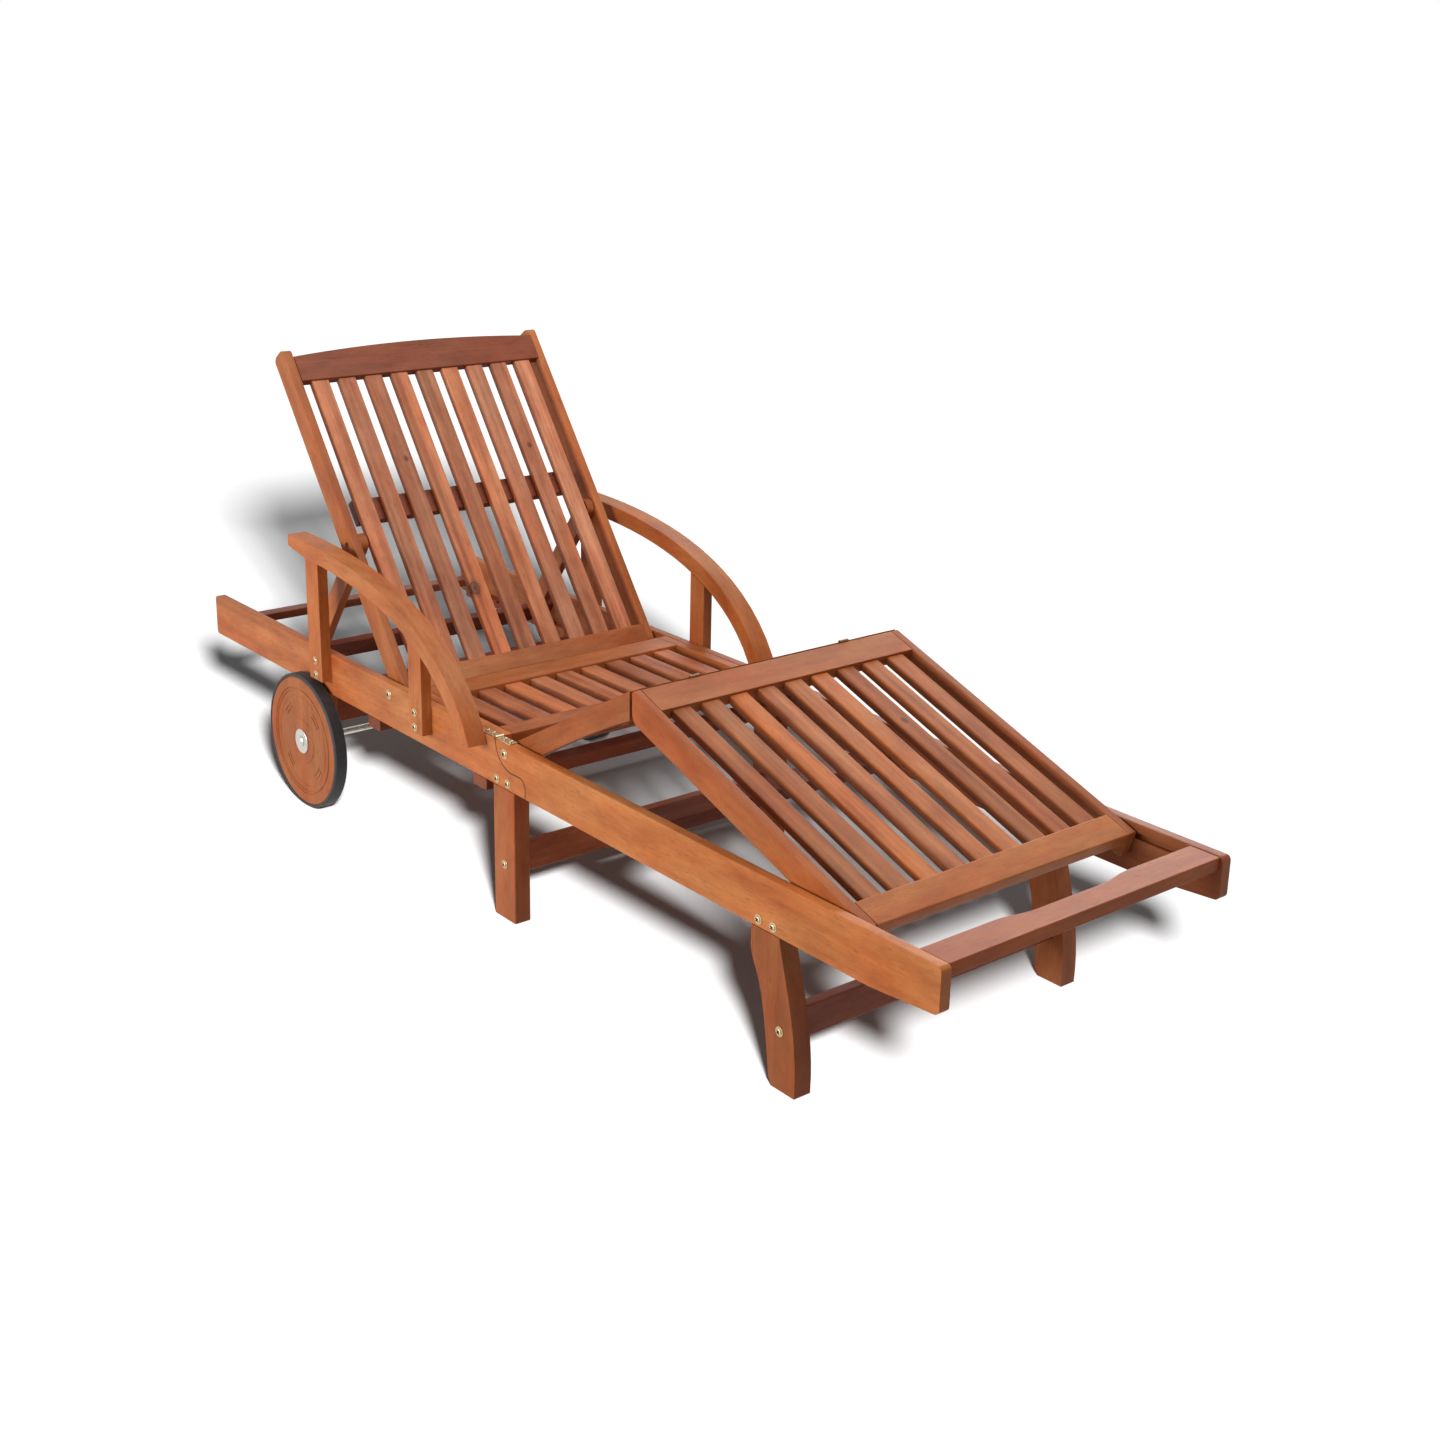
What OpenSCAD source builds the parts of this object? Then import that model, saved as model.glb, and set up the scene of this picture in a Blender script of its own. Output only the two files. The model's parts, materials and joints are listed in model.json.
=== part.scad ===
// Slatted hardwood sun lounger that folds across its middle.
// X runs from the head end (negative) to the foot end (positive), Y to the sitter's left, Z up.
// The origin lies on the floor, below the fold line. All sizes are in millimetres.

/* [Side rails] */
// Length of the rear rails, from the fold line to the head end
rear_len = 1000; // [960:10:1100]
// Length of the front rails, from the fold line to the foot end
front_len = 1000; // [980:10:1100]
// Width over the outer faces of the rails
frame_w = 576; // [560:4:640]
// Height of the rails' top edge above the floor
rail_top = 305; // [295:5:340]
// Height of a rail
rail_h = 78; // [76:2:90]
// Thickness of a rail
rail_t = 18; // [16:1:20]
// Height of the front rails at their foot end
rail_tip_h = 66; // [56:2:72]
// Length of the upward taper under the foot end
rail_taper = 143; // [80:1:160]
// Radius of the corner where that taper starts
rail_taper_r = 60; // [20:5:80]
// Radius of the rails' end corners
rail_corner = 9; // [4:1:14]
// Radius of the softened long edges of every board
ease = 2.5; // [1:0.5:3]

/* [Fold joint] */
// Radius of the front rails' rounded rear end
scarf_r = 45; // [38:1:48]
// Reach of the rear rails' nose past the fold line
nose_len = 86; // [80:1:100]
// Radius of the nose's tip
nose_r = 15; // [10:1:18]
// Gap along the scarf between nose and front rail
scarf_gap = 0.6; // [0.4:0.1:1.2]
// Half of the gap between the rails' top edges
fold_gap = 3; // [2.5:0.5:5]
// Radius of the fold hinges' knuckles
knuckle_r = 3; // [2.5:0.25:3.5]
// Radius of the fold hinges' pins
hinge_pin_r = 1.5; // [1:0.25:2]
// Length of one hinge leaf along the rail
leaf_l = 42; // [30:1:60]
// Width of a fold hinge across the rail
leaf_w = 15; // [12:1:16]
// Thickness of a hinge leaf
leaf_t = 1.6; // [1.2:0.2:2.2]

/* [Legs] */
// Thickness of a leg
leg_t = 30; // [26:1:36]
// Thickness of the tongue behind the rail
tongue_t = 12; // [10:1:14]
// Height of the tongue above the rail's lower edge
tongue_h = 27; // [20:1:28]
// Place of the middle legs' rear edge
mid_leg_x = -6; // [-12:1:0]
// Width of a middle leg
mid_leg_w = 60; // [50:1:66]
// Distance of the front legs' rear edge from the foot end
front_leg_in = 360; // [340:5:400]
// Width of a front leg at the rail
front_leg_w = 59; // [50:1:66]
// Width of a front leg's foot
foot_w = 49; // [40:1:60]
// Sweep of a front leg's foot toward the foot end
foot_sweep = 41; // [20:1:60]
// Height of a stretcher board
stretcher_h = 48; // [40:1:60]
// Thickness of a stretcher board
stretcher_t = 20; // [16:1:24]
// Height of the middle stretcher's lower edge
mid_stretcher_z = 78; // [60:2:100]
// Inset of the front stretcher from the leg's rear edge at the rail
front_stretcher_in = 56; // [40:1:60]
// Height of the front stretcher's lower edge
front_stretcher_z = 72; // [60:2:100]

/* [Wheels] */
// Outer radius of a tyre
wheel_r = 126; // [115:1:130]
// Width of a wheel
wheel_w = 24; // [20:1:26]
// Thickness of the rubber
tyre_t = 5.5; // [4:0.5:8]
// Place of the axle
axle_x = -603; // [-620:1:-590]
// Radius of the axle
axle_r = 6; // [5:0.5:8]
// Gap between wheel leg and wheel
wheel_gap = 6; // [4:1:8]
// Radius of the hub washer
hub_r = 23; // [18:1:28]
// Width of a wheel leg
wheel_leg_w = 60; // [50:2:70]
// Length of a wheel leg below the axle
wheel_leg_drop = 20; // [18:1:30]
// Height of the board between the wheel legs
axle_board_h = 68; // [50:2:68]
// Height of the raised rings on a wheel disc
ring_h = 1.5; // [1:0.25:2]
// Radius of the large raised ring
ring_r = 97; // [90:1:100]
// Radius of the inner row of short raised arcs
arc_r = 66; // [60:1:68]
// Distance between the two rows of arcs
arc_step = 8; // [6:1:10]
// Width of an arc
arc_w = 3; // [2:0.5:4]

/* [Cross pieces] */
// Width of an under batten
batten_w = 40; // [30:1:50]
// Thickness of an under batten
batten_t = 20; // [14:1:24]
// Place of the under batten in front of the backrest's pivot
head_under_x = -407; // [-420:1:-400]
// Place of the under batten below the seat's front edge
seat_under_x = -66; // [-80:1:-60]
// Width of the head batten
head_batten_w = 30; // [20:1:40]
// Thickness of the head batten
head_batten_t = 16; // [12:1:20]
// Inset of the head batten from the head end
head_batten_in = 20; // [12:1:24]
// Place of the low board across the front frame
mid_board_x = 273; // [200:1:300]
// Width of that board
mid_board_w = 60; // [40:1:80]
// Thickness of that board
mid_board_t = 21; // [16:1:21]
// Width of the foot handle at its ends
handle_w = 53; // [48:1:60]
// Depth of the waist in the foot handle's inner edge
handle_waist = 10; // [4:1:16]
// Distance from the middle where that waist starts
handle_waist_y = 140; // [110:5:160]
// Thickness of the foot handle
handle_t = 20; // [16:1:24]
// Inset of the foot handle from the foot end
handle_in = 5; // [3:1:12]

/* [Armrests] */
// Width of an armrest
arm_w = 36; // [30:1:44]
// Thickness of an armrest
arm_t = 30; // [24:1:32]
// Rise of an armrest above the rail's top edge
arm_rise = 211; // [170:1:240]
// Place of the armrests' rear end
arm_rear_x = -609; // [-640:1:-590]
// Place of the armrests' front end
arm_front_x = -20; // [-30:1:-14]
// Reach of the armrest's level part
arm_level = 194; // [150:1:240]
// Reach of the bend at the armrest's front end
arm_bend = 91; // [60:1:120]
// Thickness of the armrest's rear end
arm_end_t = 21; // [16:1:24]
// Overlap of the armrest's front end on the rail
arm_lap = 15; // [10:1:30]
// Thickness of an arm post
post_t = 19; // [16:1:24]
// Width of the rear arm post
rear_post_w = 45; // [36:1:50]
// Place of the rear arm post's rear edge
rear_post_x = -580; // [-590:1:-560]
// Width of the front arm post
front_post_w = 40; // [34:1:46]
// Place of the front arm post's rear edge
front_post_x = -231; // [-240:1:-200]
// Height of the posts' lower end above the rail's lower edge
post_foot = 28; // [16:1:34]

/* [Slats and panel boards] */
// Number of slats in each panel
slat_count = 9; // [7:1:9]
// Width of a slat in the seat and the leg rest
slat_w = 33.5; // [30:0.5:40]
// Thickness of a slat
slat_t = 14; // [12:1:15]
// Width of a slat in the backrest
back_slat_w = 33.5; // [30:0.5:35]
// Thickness of a panel's cross rails
cross_t = 20; // [18:1:22]
// Drop of the slats below the cross rails' face
slat_drop = 4; // [1:0.5:5]
// Length of the tenons
tenon_l = 8; // [6:1:9]
// Shoulder around a tenon
tenon_in = 4; // [3:0.5:5]
// Clearance around a tenon, a screw and a pin
fit = 0.1; // [0.05:0.05:0.2]

/* [Seat] */
// Distance of the seat's front edge from the fold line
seat_front = 4; // [4:1:10]
// Length of the seat
seat_l = 276; // [240:2:280]
// Width of the seat's rear rail
seat_rear_w = 57; // [40:1:64]
// Width of the seat's front rail
seat_front_w = 40; // [36:1:60]

/* [Backrest] */
// Distance of the backrest's pivot from the fold line
back_pivot = 331.5; // [328:0.5:340]
// Drop of the backrest's pivot below the rail's top edge
back_pivot_drop = 19; // [17:1:22]
// Angle of the backrest above level, as it stands
back_angle = 53.3; // [20:0.1:54]
// Length of a backrest stile past its pivot
back_len = 657; // [640:1:660]
// Depth of a backrest stile
stile_d = 44; // [40:1:44]
// Thickness of the panels' stiles
stile_t = 16; // [14:1:17]
// Gap between the rails and the stiles
side_gap = 3; // [2:0.5:4]
// Width of the backrest's lower rail
back_low_w = 35; // [30:1:40]
// Width of the crest rail at its ends
crest_w = 49; // [40:1:56]
// Rise of the crest rail's arch
crest_rise = 11; // [4:1:14]
// Reach of the stiles past the crest rail's ends
crest_in = 17; // [14:1:24]
// Distance of the middle batten from the pivot
back_batten_at = 316; // [310:1:340]
// Width of the middle batten
back_batten_w = 45; // [30:1:50]
// Thickness of the middle batten
back_batten_t = 18; // [12:1:20]

/* [Backrest prop] */
// Distance of the prop's pivot from the backrest's pivot
prop_at = 280; // [270:1:290]
// Length from the prop's pivot to the foot bar's lower edge
prop_l = 315; // [308:1:320]
// Width of a prop strut
strut_w = 34; // [28:1:36]
// Thickness of a prop strut
strut_t = 15.5; // [13:0.5:16]
// Gap between a strut and the backrest's stile
strut_gap = 1.4; // [1:0.1:2]
// Width of the foot bar
foot_bar_w = 44; // [34:1:46]
// Thickness of the foot bar
foot_bar_t = 14; // [10:1:14]
// Height of the racks' crests above the rail's lower edge
rack_h = 15.9; // [14:0.1:16]
// Thickness of a rack
rack_t = 19; // [14:1:19]
// Height of the foot bar over the crests, as it stands
rack_clear = 2.8; // [2.6:0.1:4]
// Radius of the racks' notches
notch_r = 6; // [4:0.5:8]

/* [Leg rest] */
// Distance of the leg rest's pivot from the fold line
thigh_pivot = 29; // [28:1:32]
// Drop of that pivot below the rail's top edge
thigh_pivot_drop = 18; // [17:1:19]
// Angle of the thigh panel above level, as it stands
thigh_angle = 29.3; // [5:0.1:29.3]
// Undercut of the thigh panel's knee end, which lets the knee rise to that angle
thigh_cut = 29.3; // [29.3:0.1:32]
// Length of the thigh panel, from its pivot to the knee
thigh_len = 357; // [345:0.5:360]
// Height of the leg rest's face above its pivot
thigh_up = 14; // [13:1:14]
// Depth of a thigh stile at its ends
thigh_d = 40; // [34:1:40]
// Depth that the arch takes from a thigh stile
thigh_arch = 5; // [2:0.5:8]
// Width of the thigh panel's cross rails
thigh_rail_w = 50; // [40:1:56]
// Gap between the leg rest, laid flat, and the foot handle
handle_gap = 10; // [4.5:0.5:16]
// Depth of a calf stile
calf_d = 45; // [40:1:45]
// Width of the calf panel's upper rail
calf_top_w = 53; // [44:1:60]
// Width of the calf panel's lower rail
calf_low_w = 49; // [36:1:54]
// Radius of the calf stiles' heel below the knee
calf_heel_r = 24; // [16:2:30]
// Half of the gap between the two panels' faces at the knee
knee_gap = 3.4; // [3.3:0.1:4.5]
// Place of the knee hinges to the side of the middle
knee_hinge_y = 150; // [120:5:180]
// Width of a knee hinge
knee_hinge_w = 18; // [15:1:30]
// Radius of the knee hinges' knuckles
knee_r = 2.6; // [2.2:0.1:2.6]
// Radius of the knee hinges' pins
knee_pin_r = 1.2; // [1:0.1:1.4]
// Inset of the foot pins from the calf panel's foot end
foot_pin_in = 18; // [16:1:24]
// Drop of the foot pins below the calf panel's face
foot_pin_drop = 16; // [14:1:16]
// Drop of the line that the foot pins run along, below the rail's top edge
foot_pin_line = 20; // [19.5:0.5:20.5]
// Radius of the foot pins
foot_pin_r = 4; // [3:0.5:4]
// Height of the grooves that the foot pins run in
groove_h = 11; // [11:0.5:13]
// Depth of those grooves
groove_d = 8; // [6:1:10]

/* [Screws and bolts] */
// Radius of a screw's washer
washer_r = 7.5; // [6:0.5:9]
// Radius of a screw's head
head_r = 5; // [4:0.5:6]
// Height of a screw's head
head_h = 3.2; // [2:0.2:4]
// Thickness of a washer
washer_t = 1.2; // [0.8:0.2:1.6]
// Radius of a screw's shank
shank_r = 3; // [2:0.5:3.5]
// Height of the leg screws above the rail's lower edge
leg_screw_up = 12; // [8:1:14]
// Inset of a leg's first screw
leg_screw_in = 12; // [10:1:16]
// Distance between a leg's two screws
leg_screw_apart = 31; // [24:1:36]
// Height of the stretchers' screws above their lower edges
stretcher_screw_up = 18; // [14:1:30]
// Drop of the arm posts' lower screws below the rail's top edge
post_screw_low = 40; // [34:1:46]
// Drop of the arm posts' upper screws below the rail's top edge
post_screw_high = 14; // [12:1:18]
// Depth of the arm posts' screws in the rail
post_screw_in = 14; // [10:1:15]
// Radius of a pivot bolt
pivot_r = 4; // [3:0.5:5]

/* [Hidden] */
half_w = frame_w / 2;
in_w = half_w - rail_t;
rail_bot = rail_top - rail_h;
panel_w = in_w - side_gap;
panel_in = panel_w - stile_t;
hinge_z = rail_top + knuckle_r / 2;
relief_r = knuckle_r + 1;
leg_in = half_w - leg_t;
tongue_in = in_w - tongue_t;
slat_gap = (2 * panel_in - slat_count * slat_w) / (slat_count + 1);
slat_pitch = slat_w + slat_gap;
back_gap = (2 * panel_in - slat_count * back_slat_w) / (slat_count + 1);
back_pitch = back_slat_w + back_gap;
strut_in = panel_in - strut_gap - strut_t;
strut_out = strut_in + strut_t;
wheel_in = half_w + wheel_gap;
wheel_out = wheel_in + wheel_w;
wheel_z = wheel_r;
disc_r = wheel_r - tyre_t;
front_leg_x = front_len - front_leg_in;
calf_len = front_len - handle_in - handle_w - handle_gap - thigh_pivot - thigh_len;
foot_pin_at = calf_len - foot_pin_in;
back_z = rail_top - back_pivot_drop;
thigh_z = rail_top - thigh_pivot_drop;
round_n = 6;
running = 0.3;
settings = [0, 18, 31, 42.5, back_angle];

// Height of the prop's foot and its angle below level at a backrest angle
prop_foot_z = rail_bot + rack_h + rack_clear;
function prop_pivot_z(a) = back_z + prop_at * sin(a);
function prop_angle(a) =
    asin((prop_pivot_z(a) - prop_foot_z) / norm([prop_l, strut_w / 2])) - atan(strut_w / 2 / prop_l);
function prop_foot_x(a) =
    -back_pivot - prop_at * cos(a) - prop_l * cos(prop_angle(a)) + strut_w / 2 * sin(prop_angle(a));

// The knee's place and the calf panel's angle follow from the foot pins' height
groove_z = rail_top - foot_pin_line;
function knee_x(a) = thigh_pivot + thigh_len * cos(a) - thigh_up * sin(a);
function knee_z(a) = thigh_z + thigh_len * sin(a) + thigh_up * cos(a);
function calf_angle(a) =
    asin((knee_z(a) - groove_z) / norm([foot_pin_at, foot_pin_drop])) - atan(foot_pin_drop / foot_pin_at);
function foot_pin_x(a) =
    knee_x(a) + foot_pin_at * cos(calf_angle(a)) - foot_pin_drop * sin(calf_angle(a));

// Outline helpers: corners given as [x, y, radius], and a smooth four-point curve
function unit(v) = v / norm(v);
function fillet(a, b, c, r, n) =
    let (
        d1 = unit(a - b),
        d2 = unit(c - b),
        half = acos(d1 * d2) / 2,
        centre = b + unit(d1 + d2) * r / sin(half),
        p1 = b + d1 * r / tan(half) - centre,
        p2 = b + d2 * r / tan(half) - centre,
        a1 = atan2(p1.y, p1.x),
        turn = (atan2(p2.y, p2.x) - a1 + 540) % 360 - 180
    )
    [for (i = [0 : n]) centre + r * [cos(a1 + turn * i / n), sin(a1 + turn * i / n)]];
function rounded(p, n = round_n) =
    [for (i = [0 : len(p) - 1])
        let (a = p[(i + len(p) - 1) % len(p)], b = p[i], c = p[(i + 1) % len(p)])
        each b.z > 0 ? fillet([a.x, a.y], [b.x, b.y], [c.x, c.y], b.z, n) : [[b.x, b.y]]];
function bezier(p, t) =
    pow(1 - t, 3) * p[0] + 3 * pow(1 - t, 2) * t * p[1] + 3 * (1 - t) * t * t * p[2] + pow(t, 3) * p[3];
function bezier_way(p, t) =
    unit(pow(1 - t, 2) * (p[1] - p[0]) + 2 * (1 - t) * t * (p[2] - p[1]) + t * t * (p[3] - p[2]));
function curve(p, n) = [for (i = [0 : n]) bezier(p, i / n)];
function skip_first(p) = [for (i = [1 : len(p) - 1]) p[i]];
function backwards(p) = [for (i = [len(p) - 1 : -1 : 0]) p[i]];

// Board helpers: an outline in the side view, and bars with softened long edges
module board(points, y0, y1) {
    translate([0, y1, 0]) rotate([90, 0, 0]) linear_extrude(y1 - y0) polygon(points);
}
module box(x0, x1, y0, y1, z0, z1) {
    translate([x0, y0, z0]) cube([x1 - x0, y1 - y0, z1 - z0]);
}
function soft_box(u0, u1, v0, v1, r = ease) =
    rounded([[u0, v0, r], [u1, v0, r], [u1, v1, r], [u0, v1, r]], 3);
module bar_x(x0, x1, y0, y1, z0, z1) {
    translate([x0, 0, 0]) rotate([90, 0, 90]) linear_extrude(x1 - x0) polygon(soft_box(y0, y1, z0, z1));
}
module bar_y(x0, x1, y0, y1, z0, z1) {
    board(soft_box(x0, x1, z0, z1), y0, y1);
}
module bar_z(x0, x1, y0, y1, z0, z1) {
    translate([0, 0, z0]) linear_extrude(z1 - z0) polygon(soft_box(x0, x1, y0, y1));
}
module rod(x, z, y0, y1, r) {
    translate([x, y1, z]) rotate([90, 0, 0]) cylinder(h = y1 - y0, r = r, $fn = 48);
}
module pair() {
    children();
    mirror([0, 1, 0]) children();
}
module other_side() {
    mirror([0, 1, 0]) children();
}

// Domed cross-head screw on its washer, pointing to the middle from the face at y
module screw(x, z, y, l) {
    translate([x, y, z]) rotate([-90, 0, 0]) rotate_extrude($fn = 32) polygon([
        [0, -l], [shank_r, -l], [shank_r, 0], [washer_r, 0], [washer_r, washer_t], [head_r, washer_t],
        [head_r, head_h * 0.7], [head_r * 0.7, head_h], [0, head_h]
    ]);
}
module pivot_bolt(x, z, l) {
    rod(x, z, half_w - l, half_w, pivot_r);
    translate([x, half_w, z]) rotate([-90, 0, 0]) rotate_extrude($fn = 32) polygon([
        [0, 0], [washer_r + 1, 0], [washer_r + 1, washer_t], [head_r + 1, washer_t],
        [head_r + 1, head_h * 0.7], [head_r * 0.8, head_h], [0, head_h]
    ]);
}

// Slats along X between two cross rails, each with a tenon at both ends
module slat_row(x0, x1, top, w, pitch) {
    for (i = [0 : slat_count - 1]) {
        y = (i - (slat_count - 1) / 2) * pitch;
        bar_x(x0, x1, y - w / 2, y + w / 2, top - slat_t, top);
        tenon_x(x0, y, top - slat_t / 2, w, slat_t, 0);
        tenon_x(x1 - 1, y, top - slat_t / 2, w, slat_t, 0);
    }
}
// A tenon, or with the clearance added its mortise, across a joint face at x
module tenon_x(x, y, z, w, t, gap) {
    half = w / 2 - tenon_in + gap;
    thick = t / 2 - tenon_in + gap;
    box(x - tenon_l - gap, x + 1 + tenon_l + gap, y - half, y + half, z - thick, z + thick);
}
module slat_mortises(x, z, w, pitch) {
    for (i = [0 : slat_count - 1])
        tenon_x(x, (i - (slat_count - 1) / 2) * pitch, z, w, slat_t, fit);
}
// A cross rail with a tenon at each end, and the mortises for them in a stile
module cross_tenons(x0, x1, z0, z1, gap) {
    box(x0 + tenon_in - gap, x1 - tenon_in + gap, -panel_in - tenon_l - gap, panel_in + tenon_l + gap,
        z0 + tenon_in - gap, z1 - tenon_in + gap);
}
module cross_rail(x0, x1, z0, z1) {
    bar_y(x0, x1, -panel_in, panel_in, z0, z1);
    cross_tenons(x0, x1, z0, z1, 0);
}

// Rear rail, with the nose that the front rail's rounded end rests on
scarf_x = fold_gap + scarf_r;
module rail_section(x0, x1) {
    bar_x(x0, x1, in_w, half_w, rail_bot, rail_top);
}
module rear_rail_outline() {
    c = rail_corner;
    polygon(rounded([
        [-rear_len, rail_bot, c], [nose_len, rail_bot, 0], [nose_len, rail_top - scarf_r - scarf_gap, nose_r],
        [scarf_x, rail_top - scarf_r - scarf_gap, 0], [scarf_x, rail_top, 0], [-rear_len, rail_top, c]
    ]));
}
module rear_rail() {
    difference() {
        intersection() {
            rail_section(-rear_len, nose_len);
            translate([0, half_w, 0]) rotate([90, 0, 0]) linear_extrude(rail_t) rear_rail_outline();
        }
        rod(scarf_x, rail_top, in_w - 1, half_w + 1, scarf_r + scarf_gap);
        rod(0, hinge_z, in_w - 1, half_w + 1, relief_r);
        rod(-back_pivot, back_z, in_w - 1, half_w + 1, pivot_r + fit);
        for (x = mid_screw_x) rod(x, leg_screw_z, in_w - 1, half_w + 1, shank_r + fit);
        for (x = [rear_screw_x, front_screw_x], z = post_screw_z)
            rod(x, z, half_w - post_screw_in - fit, half_w + 1, shank_r + fit);
    }
}
module rear_rail_left() {
    color("peru") rear_rail();
}
module rear_rail_right() {
    color("peru") other_side() rear_rail();
}

module head_batten() {
    color("sienna")
    bar_y(-rear_len + head_batten_in, -rear_len + head_batten_in + head_batten_w, -in_w, in_w,
        head_batten_z - head_batten_t, head_batten_z);
}
head_batten_z = back_z - stile_d / 2 - running;

module under_battens() {
    color("sandybrown") for (x = [head_under_x, seat_under_x])
        bar_y(x, x + batten_w, -half_w, half_w, rail_bot - batten_t, rail_bot);
}

// Legs: a shoulder below the rail and a tongue behind it
module leg_tongue(x0, x1, h) {
    box(x0, x1, tongue_in, in_w, rail_bot - 1, rail_bot + h);
}
axle_leg_x = axle_x - wheel_leg_w / 2;
wheel_tongue_h = 13;
module wheel_legs() {
    z0 = wheel_z - wheel_leg_drop;
    color("peru") pair() difference() {
        union() {
            board(rounded([
                [axle_leg_x, z0, wheel_leg_drop * 0.8], [axle_leg_x + wheel_leg_w, z0, wheel_leg_drop * 0.8],
                [axle_leg_x + wheel_leg_w, rail_bot, 0], [axle_leg_x, rail_bot, 0]
            ]), leg_in, half_w);
            leg_tongue(axle_leg_x, axle_leg_x + wheel_leg_w, wheel_tongue_h);
        }
        rod(axle_x, wheel_z, leg_in - 1, half_w + 1, axle_r + fit);
    }
}
module axle_board() {
    color("sienna")
    bar_y(axle_leg_x + wheel_leg_w - stretcher_t, axle_leg_x + wheel_leg_w, -leg_in, leg_in,
        rail_bot - axle_board_h, rail_bot - fit);
}

// Axle, with spacers inside the wheels and washers with domed caps outside them
spacer_r = 12;
cap_r = 9;
hub_washer_t = 1.5;
module wheel_axle() {
    y = wheel_out + running + hub_washer_t;
    color("silver") rod(axle_x, wheel_z, -y, y, axle_r);
}
module hub_spacers() {
    color("silver") pair() difference() {
        rod(axle_x, wheel_z, half_w, wheel_in - running, spacer_r);
        rod(axle_x, wheel_z, half_w - 1, wheel_in + 1, axle_r + fit);
    }
}
module hub_caps() {
    y = wheel_out + running;
    color("silver") pair() difference() {
        translate([axle_x, y, wheel_z]) rotate([-90, 0, 0]) rotate_extrude($fn = 48) polygon([
            [0, 0], [hub_r, 0], [hub_r, hub_washer_t - 0.4], [hub_r - 0.6, hub_washer_t],
            [cap_r, hub_washer_t], [cap_r, hub_washer_t + 1.2], [cap_r * 0.75, hub_washer_t + 3],
            [cap_r * 0.4, hub_washer_t + 4], [0, hub_washer_t + 4.2]
        ]);
        rod(axle_x, wheel_z, y - 1, y + hub_washer_t, axle_r + fit);
    }
}

leg_screw_z = rail_bot + leg_screw_up;
mid_screw_x = [mid_leg_x + leg_screw_in, mid_leg_x + leg_screw_in + leg_screw_apart];
module middle_legs() {
    color("peru") pair() difference() {
        union() {
            bar_z(mid_leg_x, mid_leg_x + mid_leg_w, leg_in, half_w, 0, rail_bot);
            leg_tongue(mid_leg_x, mid_leg_x + mid_leg_w, tongue_h);
        }
        for (x = mid_screw_x) rod(x, leg_screw_z, tongue_in + 2, in_w + 1, shank_r + fit);
        rod(mid_stretcher_x + stretcher_t / 2, mid_stretcher_z + stretcher_screw_up, leg_in - 1, half_w + 1,
            shank_r + fit);
    }
}
mid_stretcher_x = mid_leg_x + (mid_leg_w - stretcher_t) / 2 + 1;
stretcher_screw_l = leg_t + 20;
module stretcher(x, z) {
    difference() {
        bar_y(x, x + stretcher_t, -leg_in, leg_in, z, z + stretcher_h);
        pair() rod(x + stretcher_t / 2, z + stretcher_screw_up, half_w - stretcher_screw_l - fit, leg_in + 1,
            shank_r + fit);
    }
}
module middle_stretcher() {
    color("sienna") stretcher(mid_stretcher_x, mid_stretcher_z);
}
module middle_leg_screws() {
    color("goldenrod") pair() {
        for (x = mid_screw_x) screw(x, leg_screw_z, half_w, rail_t + tongue_t - 3);
        screw(mid_stretcher_x + stretcher_t / 2, mid_stretcher_z + stretcher_screw_up, half_w,
            stretcher_screw_l);
    }
}

// Racks along the rear rails, with a notch at each setting of the backrest
rack_front = axle_leg_x - 7;
rack_rear = -rear_len + head_batten_in + head_batten_w + running;
module prop_racks() {
    color("sienna") pair() difference() {
        box(rack_rear, rack_front, in_w - rack_t, in_w, rail_bot, rail_bot + rack_h);
        for (a = settings) rod(prop_foot_x(a), rail_bot + rack_h, in_w - rack_t - 1, in_w + 1, notch_r);
    }
}

// Seat, level with the rails' top edges
seat_rear = -seat_front - seat_l;
seat_slat_top = rail_top - slat_drop;
module seat_rear_rail() {
    color("peru") difference() {
        cross_rail(seat_rear, seat_rear + seat_rear_w, rail_top - cross_t, rail_top);
        slat_mortises(seat_rear + seat_rear_w, seat_slat_top - slat_t / 2, slat_w, slat_pitch);
    }
}
module seat_front_rail() {
    color("peru") difference() {
        cross_rail(-seat_front - seat_front_w, -seat_front, rail_top - cross_t, rail_top);
        slat_mortises(-seat_front - seat_front_w, seat_slat_top - slat_t / 2, slat_w, slat_pitch);
    }
}
module seat_slats() {
    color("sandybrown")
    slat_row(seat_rear + seat_rear_w, -seat_front - seat_front_w, seat_slat_top, slat_w, slat_pitch);
}
module seat_side_strips() {
    color("peru") pair() difference() {
        bar_x(seat_rear, -seat_front, panel_in, in_w, rail_top - cross_t, rail_top);
        cross_tenons(seat_rear, seat_rear + seat_rear_w, rail_top - cross_t, rail_top, fit);
        cross_tenons(-seat_front - seat_front_w, -seat_front, rail_top - cross_t, rail_top, fit);
    }
}

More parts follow.
